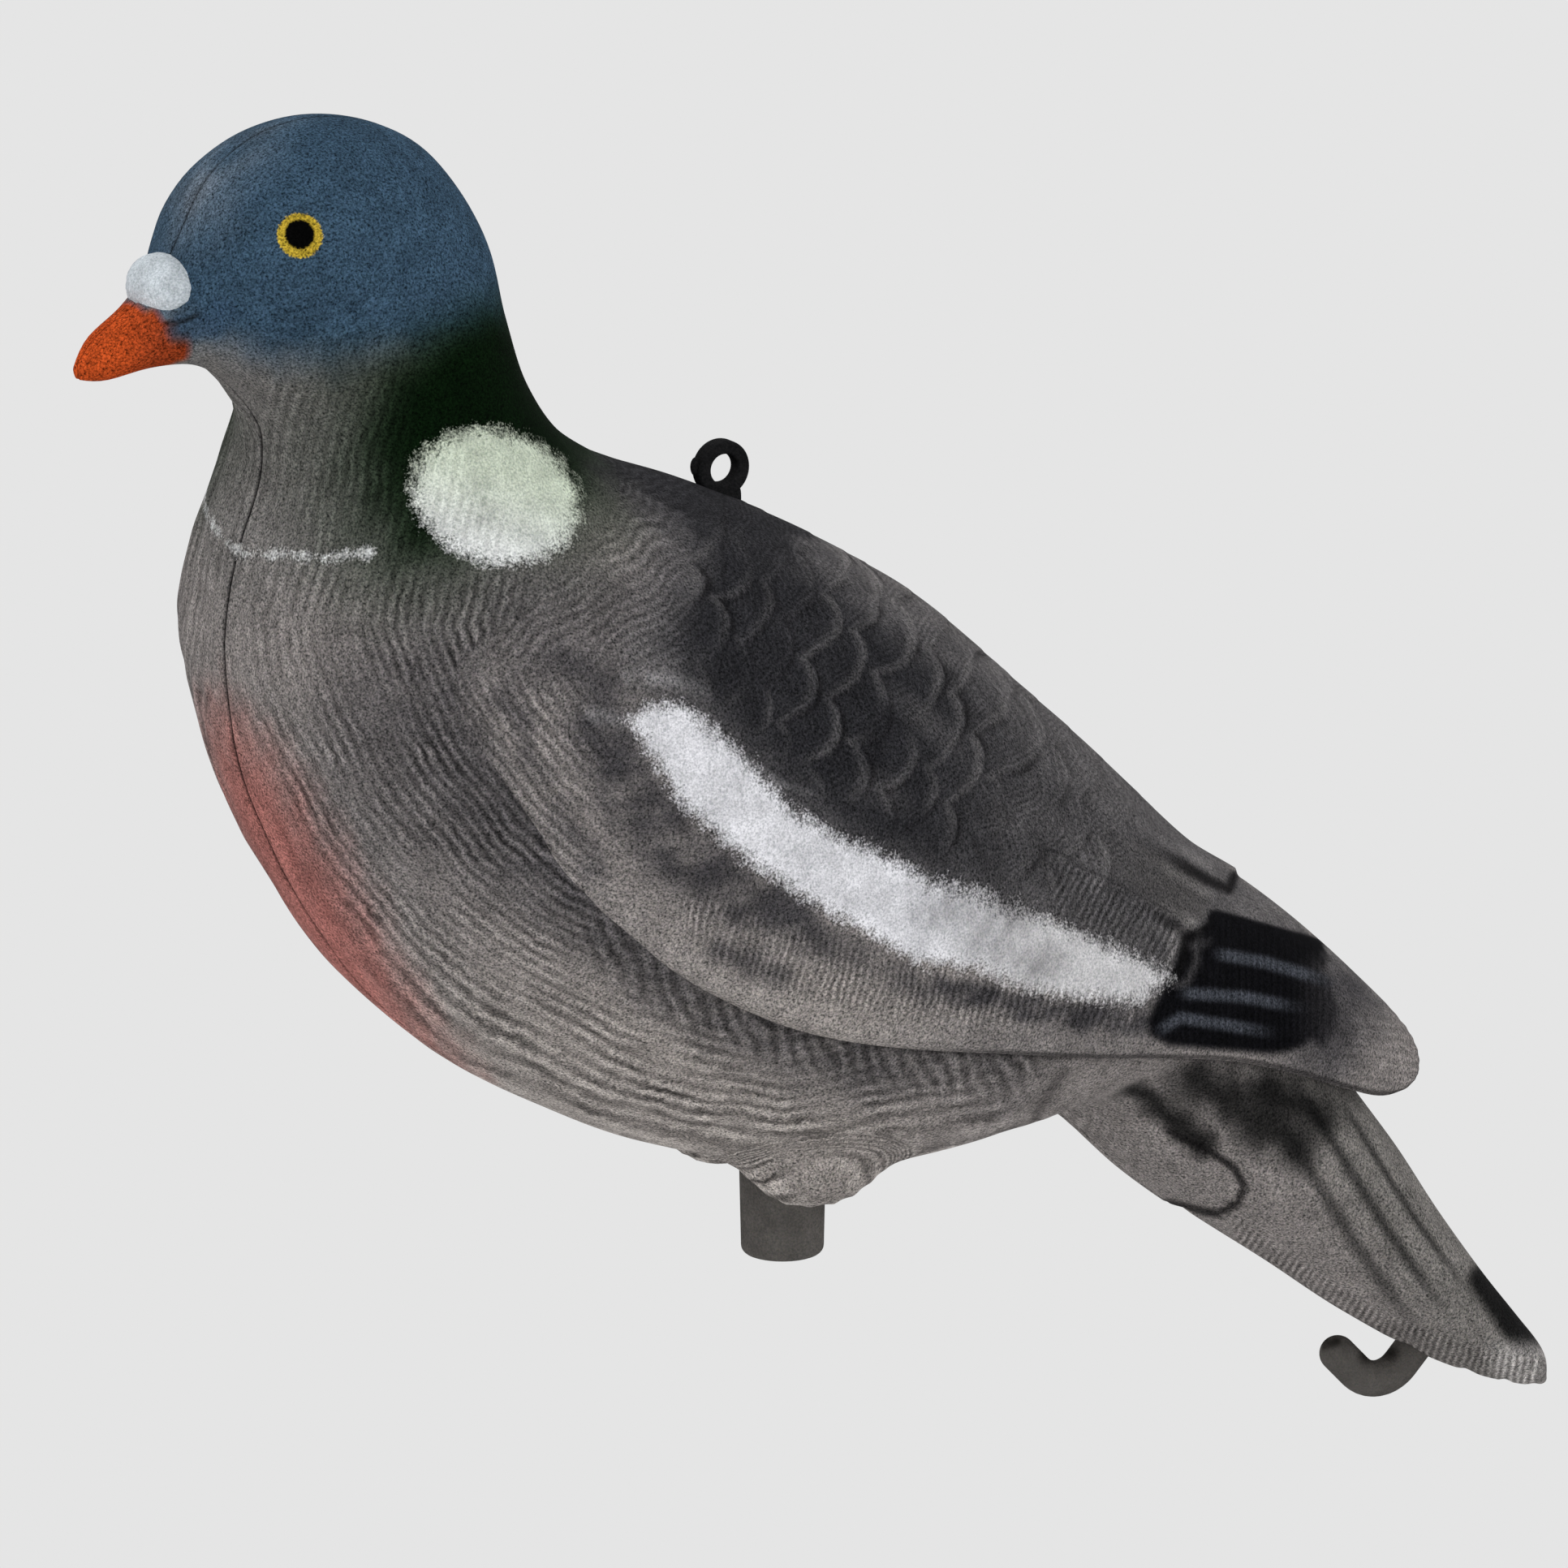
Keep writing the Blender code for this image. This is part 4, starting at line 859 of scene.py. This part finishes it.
def flockMaterial(name, colourName=None, painted=False, side=-1, speckle=None):
    speckle = speckle or flockSet["speckle"]
    material = bpy.data.materials.new(name)
    material.use_nodes = True
    n = Nodes(material.node_tree)
    spot = n.add("ShaderNodeTexCoord").outputs["Object"]
    fibre, clump, mottle = (
        n.add("ShaderNodeTexNoise", {"Vector": spot, "Scale": flockSet[kind], "Detail": detail, "Roughness": rough})
        for kind, detail, rough in (("fibre", 2.0, 0.7), ("clump", 3.0, 0.6), ("mottle", 3.0, 0.6)))

    def read(attribute, output="Fac"):
        return n.add("ShaderNodeAttribute", attribute_name=attribute).outputs[output]

    def swing(noise, size):
        return n.math("MULTIPLY", n.math("SUBTRACT", noise.outputs["Fac"], 0.5), size)

    waves = []
    if painted:
        ragged = n.math("ADD", swing(clump, flockSet["edgeNoise"]), swing(fibre, flockSet["edgeNoise"]))
        pale = n.math("MULTIPLY_ADD", n.math("ADD", read("paleDepth"), ragged), 0.34, 0.42, clamp=True)
        colour = n.mix("MIX", pale, read("coat", "Color"), read("pale", "Color"))
        # painted eye
        mirror = np.array([1, -1 if side > 0 else 1, 1])
        for centre, radius, shade in ((eyeCentre, eyeSet["ring"], "eyeRing"),
                                      (pupilCentre, eyeSet["pupil"], "pupil")):
            gap = n.add("ShaderNodeVectorMath", {0: spot, 1: [float(v) * mm for v in centre * mirror]},
                        operation="DISTANCE")
            edge = n.math("ADD", n.math("MULTIPLY", gap.outputs["Value"], -1000.0), radius)
            inside = n.math("MULTIPLY", n.math("ADD", edge, swing(fibre, eyeSet["edge"])), 3.0, clamp=True)
            colour = n.mix("MIX", inside, colour, linear(shade))
        broken = n.add("ShaderNodeMapRange", {"Value": mottle.outputs["Color"], "From Min": 0.35, "From Max": 0.62,
                                              "To Min": 0.35, "To Max": 1.45}).outputs["Result"]
        for place, strength in (("lineAt", "lineDepth"), ("barbAt", "barbDepth")):
            moved = n.math("ADD", read(place), swing(clump, 1.0))
            deep = n.math("MULTIPLY", read(strength), broken)
            waves.append(n.math("MULTIPLY", n.math("SINE", n.math("MULTIPLY", moved, 2 * math.pi)), deep))
    else:
        colour = n.add("ShaderNodeRGB").outputs[0]
        colour.default_value = (*[float(v) for v in linear(colourName)], 1.0)
    level = n.add("ShaderNodeMapRange", {"Value": fibre.outputs["Fac"], "From Min": 0.3, "From Max": 0.7,
                                         "To Min": 1.0 - speckle, "To Max": 1.0 + speckle}).outputs["Result"]
    if painted:
        # the white flocking is finer
        level = n.add("ShaderNodeMix", {0: n.math("MULTIPLY", pale, 0.6), 2: level, 3: 1.0},
                      data_type="FLOAT").outputs[0]
    level = n.math("MULTIPLY", level, n.math("ADD", mottle.outputs["Fac"], 0.5))
    height = n.math("ADD", fibre.outputs["Fac"], n.math("MULTIPLY", clump.outputs["Fac"], 0.6))
    # each carved line also darkens the colour in its groove and lightens it on its crest: painted shade and painted
    # highlight along the lines
    for wave in waves:
        level = n.math("MULTIPLY", level, n.math("ADD", wave, 1.0))
        height = n.math("ADD", height, n.math("MULTIPLY", wave, 2.2))
    grey = n.add("ShaderNodeCombineColor", {0: level, 1: level, 2: level}).outputs[0]
    colour = n.mix("OVERLAY", flockSet["hue"], n.mix("MULTIPLY", 1.0, colour, grey), fibre.outputs["Color"])
    bump = n.add("ShaderNodeBump", {"Strength": flockSet["bump"], "Distance": 0.0004, "Height": height})
    shader = n.add("ShaderNodeBsdfPrincipled", {"Base Color": colour, "Roughness": 0.95, "Specular IOR Level": 0.03,
                                                "Normal": bump.outputs[0]})
    n.add("ShaderNodeOutputMaterial", {0: shader.outputs[0]})
    return material


# the eye lies where its stencil point meets the head
flatAt = stencil(base.reshape(-1, 3))
flatBase = base.reshape(-1, 3)
facing = (normal.reshape(-1, 3) @ cameraBack) > 0


def surfaceAt(place):
    gap = np.hypot(flatAt[:, 0] - place[0], flatAt[:, 1] - place[1]) + 1e6 * ~facing
    near = np.argsort(gap)[:4]
    weight = 1.0 / np.maximum(gap[near], 1e-6)
    return (flatBase[near] * weight[:, None]).sum(0) / weight.sum()


eyeCentre = surfaceAt(eyePlace)
pupilCentre = surfaceAt(pupilPlace)
print("eye at", eyeCentre)

leftFlock = flockMaterial("leftFlock", painted=True, side=-1)
rightFlock = flockMaterial("rightFlock", painted=True, side=1)
leftSkin = addObject("leftShellSkin", leftMesh)
rightSkin = addObject("rightShellSkin", mirrored(leftMesh, "rightSkin"))
leftWing = addObject("leftWingSkin", leftWingMesh)
rightWing = addObject("rightWingSkin", mirrored(leftWingMesh, "rightWing"))
for thing, material in ((leftSkin, leftFlock), (rightSkin, rightFlock), (leftWing, leftFlock),
                        (rightWing, rightFlock)):
    thing.data.materials.append(material)
    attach(thing, "root")
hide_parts("left_body_shell")
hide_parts("right_body_shell")
print("shell skins placed")

# cere: the white ball over the bill
cereSet = {"centre": (-137.0, 0.0, 213.9), "radii": (6.9, 10.2, 6.7)}
shape = bmesh.new()
bmesh.ops.create_icosphere(shape, subdivisions=5, radius=1.0)
for v in shape.verts:
    p = np.array(v.co)
    swell = 0.97 + 0.012 * float(wobble(p[None, :] * 10.0, 6.0, 31)[0] + wobble(p[None, :] * 10.0, 1.6, 32)[0])
    v.co = [(c + r * q * swell) * mm for c, r, q in zip(cereSet["centre"], cereSet["radii"], p)]
cere = addObject("cereBall", meshOf(shape, "cere"))
cere.data.materials.append(flockMaterial("cereFlock", "cere", speckle=0.3))
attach(cere, "root")


def turned(name, profile, sides):
    # closed solid of revolution from a profile of radius and height, in mm
    shape = bmesh.new()
    rings = []
    for radius, height in profile:
        if radius < 1e-6:
            rings.append([shape.verts.new((0, 0, height * mm))])
        else:
            rings.append([shape.verts.new((radius * mm * math.cos(2 * math.pi * k / sides),
                                           radius * mm * math.sin(2 * math.pi * k / sides), height * mm))
                          for k in range(sides)])
    for low, high in zip(rings, rings[1:]):
        for k in range(sides):
            j = (k + 1) % sides
            corners = [low[k % len(low)], low[j % len(low)], high[j % len(high)], high[k % len(high)]]
            face = []
            for corner in corners:
                if corner not in face:
                    face.append(corner)
            shape.faces.new(face)
    bmesh.ops.recalc_face_normals(shape, faces=shape.faces)
    return addObject(name, meshOf(shape, name))


stubSet = {"mouthRadius": 8.3, "rootRadius": 8.7, "bore": 5.0, "depth": 54.0, "top": 58.0, "edge": 1.6, "lead": 0.8}
profile = [(0.0, stubSet["top"]), (stubSet["rootRadius"], stubSet["top"]), (stubSet["rootRadius"], 20.0)]
profile += [(stubSet["mouthRadius"] - stubSet["edge"] * (1 - math.cos(math.radians(a))),
             stubSet["edge"] * (1 - math.sin(math.radians(a)))) for a in range(0, 91, 15)]
profile += [(stubSet["bore"] + stubSet["lead"], 0.0), (stubSet["bore"], stubSet["lead"]),
            (stubSet["bore"], stubSet["depth"]), (0.0, stubSet["depth"])]
stub = turned("stakeStub", profile, 72)
stub.data.materials.append(flockMaterial("stubFlock", "stub", speckle=0.25))
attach(stub, "root")
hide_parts("stake_socket")

ringLow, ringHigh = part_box("hanging_eye")
print("ring box", ringLow, ringHigh)
hookLow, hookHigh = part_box("tail_hook")
print("hook box", hookLow, hookHigh)


class Growth(Nodes):
    # a Geometry Nodes tree with named sizes
    def __init__(self, name, *sizes):
        tree = bpy.data.node_groups.new(name, "GeometryNodeTree")
        super().__init__(tree)
        for way in ("INPUT", "OUTPUT"):
            tree.interface.new_socket("Geometry", in_out=way, socket_type="NodeSocketGeometry")
        self.identifiers = [tree.interface.new_socket(size, in_out="INPUT", socket_type="NodeSocketFloat").identifier
                            for size in sizes]
        start = self.add("NodeGroupInput").outputs
        self.path = start["Geometry"]
        self.size = {size: start[size] for size in sizes}

    def shape(self, kind, values, **settings):
        return self.add("GeometryNode" + kind, values, **settings).outputs[0]

    def finish(self, shape, material):
        shape = self.shape("SetShadeSmooth", {"Geometry": shape})
        shape = self.shape("RealizeInstances", {0: shape})
        self.add("NodeGroupOutput", {"Geometry": self.shape("SetMaterial", {"Geometry": shape, "Material": material})})


def grown(thing, growth, *values):
    # run the tree with these sizes, in mm, and keep the result as a plain mesh
    modifier = thing.modifiers.new("grow", "NODES")
    modifier.node_group = growth.tree
    for identifier, value in zip(growth.identifiers, values):
        modifier[identifier] = value * mm
    bpy.context.view_layer.update()
    done = bpy.data.meshes.new_from_object(thing.evaluated_get(bpy.context.evaluated_depsgraph_get()))
    name = thing.name
    bpy.data.objects.remove(thing)
    done.name = name
    return addObject(name, done)


def pathCurve(name, points):
    curve = bpy.data.curves.new(name, "CURVE")
    curve.dimensions = "3D"
    spline = curve.splines.new("POLY")
    spline.points.add(len(points) - 1)
    for k, p in enumerate(points):
        spline.points[k].co = (p[0] * mm, p[1] * mm, p[2] * mm, 1.0)
    return addObject(name, curve)


def rodGrowth(material):
    # a round rod swept along a bent path, its free end rounded to half a ball
    g = Growth("bentRod", "Radius", "Bend")
    path = g.shape("FilletCurve", {"Curve": g.path, "Radius": g.size["Bend"], "Count": 10}, mode="POLY")
    path = g.shape("ResampleCurve", {"Curve": path, "Count": 150}, mode="COUNT")
    left = g.math("SUBTRACT", g.add("GeometryNodeSplineLength").outputs["Length"],
                  g.add("GeometryNodeSplineParameter").outputs["Length"])
    away = g.math("SUBTRACT", 1.0, g.math("DIVIDE", left, g.size["Radius"], clamp=True))
    taper = g.math("SQRT", g.math("SUBTRACT", 1.0, g.math("POWER", away, 2.0), clamp=True))
    circle = g.shape("CurvePrimitiveCircle", {"Resolution": 40, "Radius": g.size["Radius"]})
    g.finish(g.shape("CurveToMesh", {"Curve": path, "Profile Curve": circle, "Scale": taper, "Fill Caps": True}),
             material)
    return g


hookSet = {"radius": 3.75, "bend": 7.5, "foot": 149.2, "stem": 11.6, "arm": 14.1, "stemAngle": 46.0,
           "armAngle": 46.0, "root": 6.0}
bellyLine = smoothRows(bodyRows, np.linspace(26.0, 33.0, 400))
footZ = float(np.interp(hookSet["foot"], bellyLine[:, 2], bellyLine[:, 3]))
down = math.radians(hookSet["stemAngle"])
rise = math.radians(hookSet["armAngle"])
footPoint = np.array([hookSet["foot"], 0.0, footZ])
stemWay = np.array([-math.cos(down), 0.0, -math.sin(down)])
armWay = np.array([-math.cos(rise), 0.0, math.sin(rise)])
elbow = footPoint + stemWay * hookSet["stem"]
tip = elbow + armWay * (hookSet["arm"] + hookSet["radius"])
hookMaterial = flockMaterial("hookFlock", painted=True, speckle=0.22)
hook = grown(pathCurve("tailHook", [footPoint - stemWay * hookSet["root"], elbow, tip]), rodGrowth(hookMaterial),
             hookSet["radius"], hookSet["bend"])
at = stencil(meshPoints(hook.data))
colour = np.ones((len(at), 3)) * linear("hook")
# painted shade on the hook next to the underside of the tail
for line, width in (([(1683, 1672), (1695, 1660), (1715, 1668)], 15), ([(1630, 1658), (1646, 1653)], 10)):
    colour = lay(colour, "hookShade", 0.85 * closeTo(line, at, width, 0))
for name in ("coat", "pale"):
    setLayer(hook.data, name, colour)
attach(hook, "root")
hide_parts("tail_hook")
print("hook spans", [list(corner) for corner in hook.bound_box][0], [list(corner) for corner in hook.bound_box][6])

# hanging eye
ringSet = {"centre": (-14.0, 0.0, 163.15), "middle": 4.35, "halfWidth": 1.35, "halfThickness": 1.7,
           "corner": 0.55, "foot": (4.3, 1.7, 3.4), "footDrop": 6.45,
           "nub": (-19.8, -0.1, 164.1), "nubRadii": (1.12, 0.7, 1.9)}
ringMaterial = flockMaterial("ringFlock", "ring", speckle=0.4)


def ringGrowth(material):
    # a standing ring with a rounded section
    g = Growth("roundEye", "Middle Radius", "Half Width", "Half Thickness", "Corner")
    path = g.shape("CurvePrimitiveCircle", {"Resolution": 96, "Radius": g.size["Middle Radius"]})
    section = g.shape("CurvePrimitiveQuadrilateral", {"Width": g.math("MULTIPLY", g.size["Half Width"], 2.0),
                                                      "Height": g.math("MULTIPLY", g.size["Half Thickness"], 2.0)})
    section = g.shape("FilletCurve", {"Curve": section, "Radius": g.size["Corner"], "Count": 5}, mode="POLY")
    ring = g.shape("CurveToMesh", {"Curve": path, "Profile Curve": section})
    g.finish(g.shape("Transform", {"Geometry": ring, "Rotation": (math.radians(90), 0.0, 0.0)}), material)
    return g


ring = grown(pathCurve("hangingRing", [(0, 0, 0), (1, 0, 0)]), ringGrowth(ringMaterial), ringSet["middle"],
             ringSet["halfWidth"], ringSet["halfThickness"], ringSet["corner"])
shape = bmesh.new()
shape.from_mesh(ring.data)
bmesh.ops.translate(shape, vec=[c * mm for c in ringSet["centre"]], verts=shape.verts)
foot = bmesh.ops.create_uvsphere(shape, u_segments=40, v_segments=24, radius=1.0)["verts"]
wide, deep, tall = ringSet["foot"]
for v in foot:
    q = [math.copysign(abs(c) ** 0.6, c) for c in v.co]
    v.co = (ringSet["centre"][0] * mm + q[0] * wide * mm, q[1] * deep * mm,
            (ringSet["centre"][2] - ringSet["footDrop"]) * mm + q[2] * tall * mm)
nub = bmesh.ops.create_icosphere(shape, subdivisions=3, radius=1.0)["verts"]
for v in nub:
    v.co = [(c + r * float(q)) * mm for c, r, q in zip(ringSet["nub"], ringSet["nubRadii"], v.co)]
bmesh.ops.recalc_face_normals(shape, faces=shape.faces)
shape.to_mesh(ring.data)
shape.free()
shadeSmooth(ring.data)
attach(ring, "root")
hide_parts("hanging_eye")
print("inserts placed")

lightSet = {"floorDrop": 0.32, "floorHalf": 8.0, "backdrop": (229, 229, 229), "sky": 0.78, "key": 7.0, "fill": 2.0}
paint["backdrop"] = lightSet["backdrop"]

floorMesh = bpy.data.meshes.new("floor")
half = lightSet["floorHalf"]
level = cadLow[2] - lightSet["floorDrop"]
floorMesh.from_pydata([(-half, -half, level), (half, -half, level), (half, half, level), (-half, half, level)],
                      [], [(0, 1, 2, 3)])
floor = addObject("floor", floorMesh)
material = bpy.data.materials.new("paleFloor")
material.use_nodes = True
n = Nodes(material.node_tree)
spot = n.add("ShaderNodeTexCoord").outputs["Object"]
reach = n.add("ShaderNodeVectorMath", {0: spot}, operation="LENGTH").outputs["Value"]
fade = n.add("ShaderNodeMapRange", {"Value": reach, "From Min": 0.35, "From Max": 0.9, "To Min": 0.35, "To Max": 1.0})
path = n.add("ShaderNodeLightPath").outputs
seen = n.math("MAXIMUM", path["Is Camera Ray"], n.math("MAXIMUM", path["Is Glossy Ray"], path["Is Transmission Ray"]))
plain = n.add("ShaderNodeBsdfDiffuse", {"Color": linear("backdrop")}).outputs[0]
glow = n.add("ShaderNodeEmission", {"Color": linear("backdrop")}).outputs[0]
mixer = n.add("ShaderNodeMixShader", {0: n.math("MULTIPLY", fade.outputs["Result"], seen), 1: plain, 2: glow})
n.add("ShaderNodeOutputMaterial", {0: mixer.outputs[0]})
floor.data.materials.append(material)
floor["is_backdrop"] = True

world = bpy.data.worlds.new("studio")
bpy.context.scene.world = world
world.use_nodes = True
n = Nodes(world.node_tree)
light = n.add("ShaderNodeBackground", {"Color": np.ones(3), "Strength": lightSet["sky"]}).outputs[0]
back = n.add("ShaderNodeBackground", {"Color": linear("backdrop")}).outputs[0]
mixer = n.add("ShaderNodeMixShader", {0: n.add("ShaderNodeLightPath").outputs["Is Camera Ray"], 1: light, 2: back})
n.add("ShaderNodeOutputWorld", {0: mixer.outputs[0]})


def softLamp(name, place, size, power):
    data = bpy.data.lights.new(name, "AREA")
    data.shape = "DISK"
    data.size = size
    data.energy = power
    lamp = bpy.data.objects.new(name, data)
    bpy.context.scene.collection.objects.link(lamp)
    lamp.location = place
    aim = np.array([0.0, 0.0, 0.09]) - np.array(place)
    aim = aim / np.linalg.norm(aim)
    level = math.hypot(aim[0], aim[1])
    lamp.rotation_euler = (math.atan2(level, -aim[2]), 0.0, math.atan2(aim[1], aim[0]) - math.pi / 2)
    return lamp


softLamp("keyLamp", (-1.0, -1.3, 1.5), 1.4, lightSet["key"])
softLamp("fillLamp", (1.3, -1.4, 0.6), 1.6, lightSet["fill"])

bpy.context.scene.view_settings.view_transform = "Standard"
print("stage and light placed")
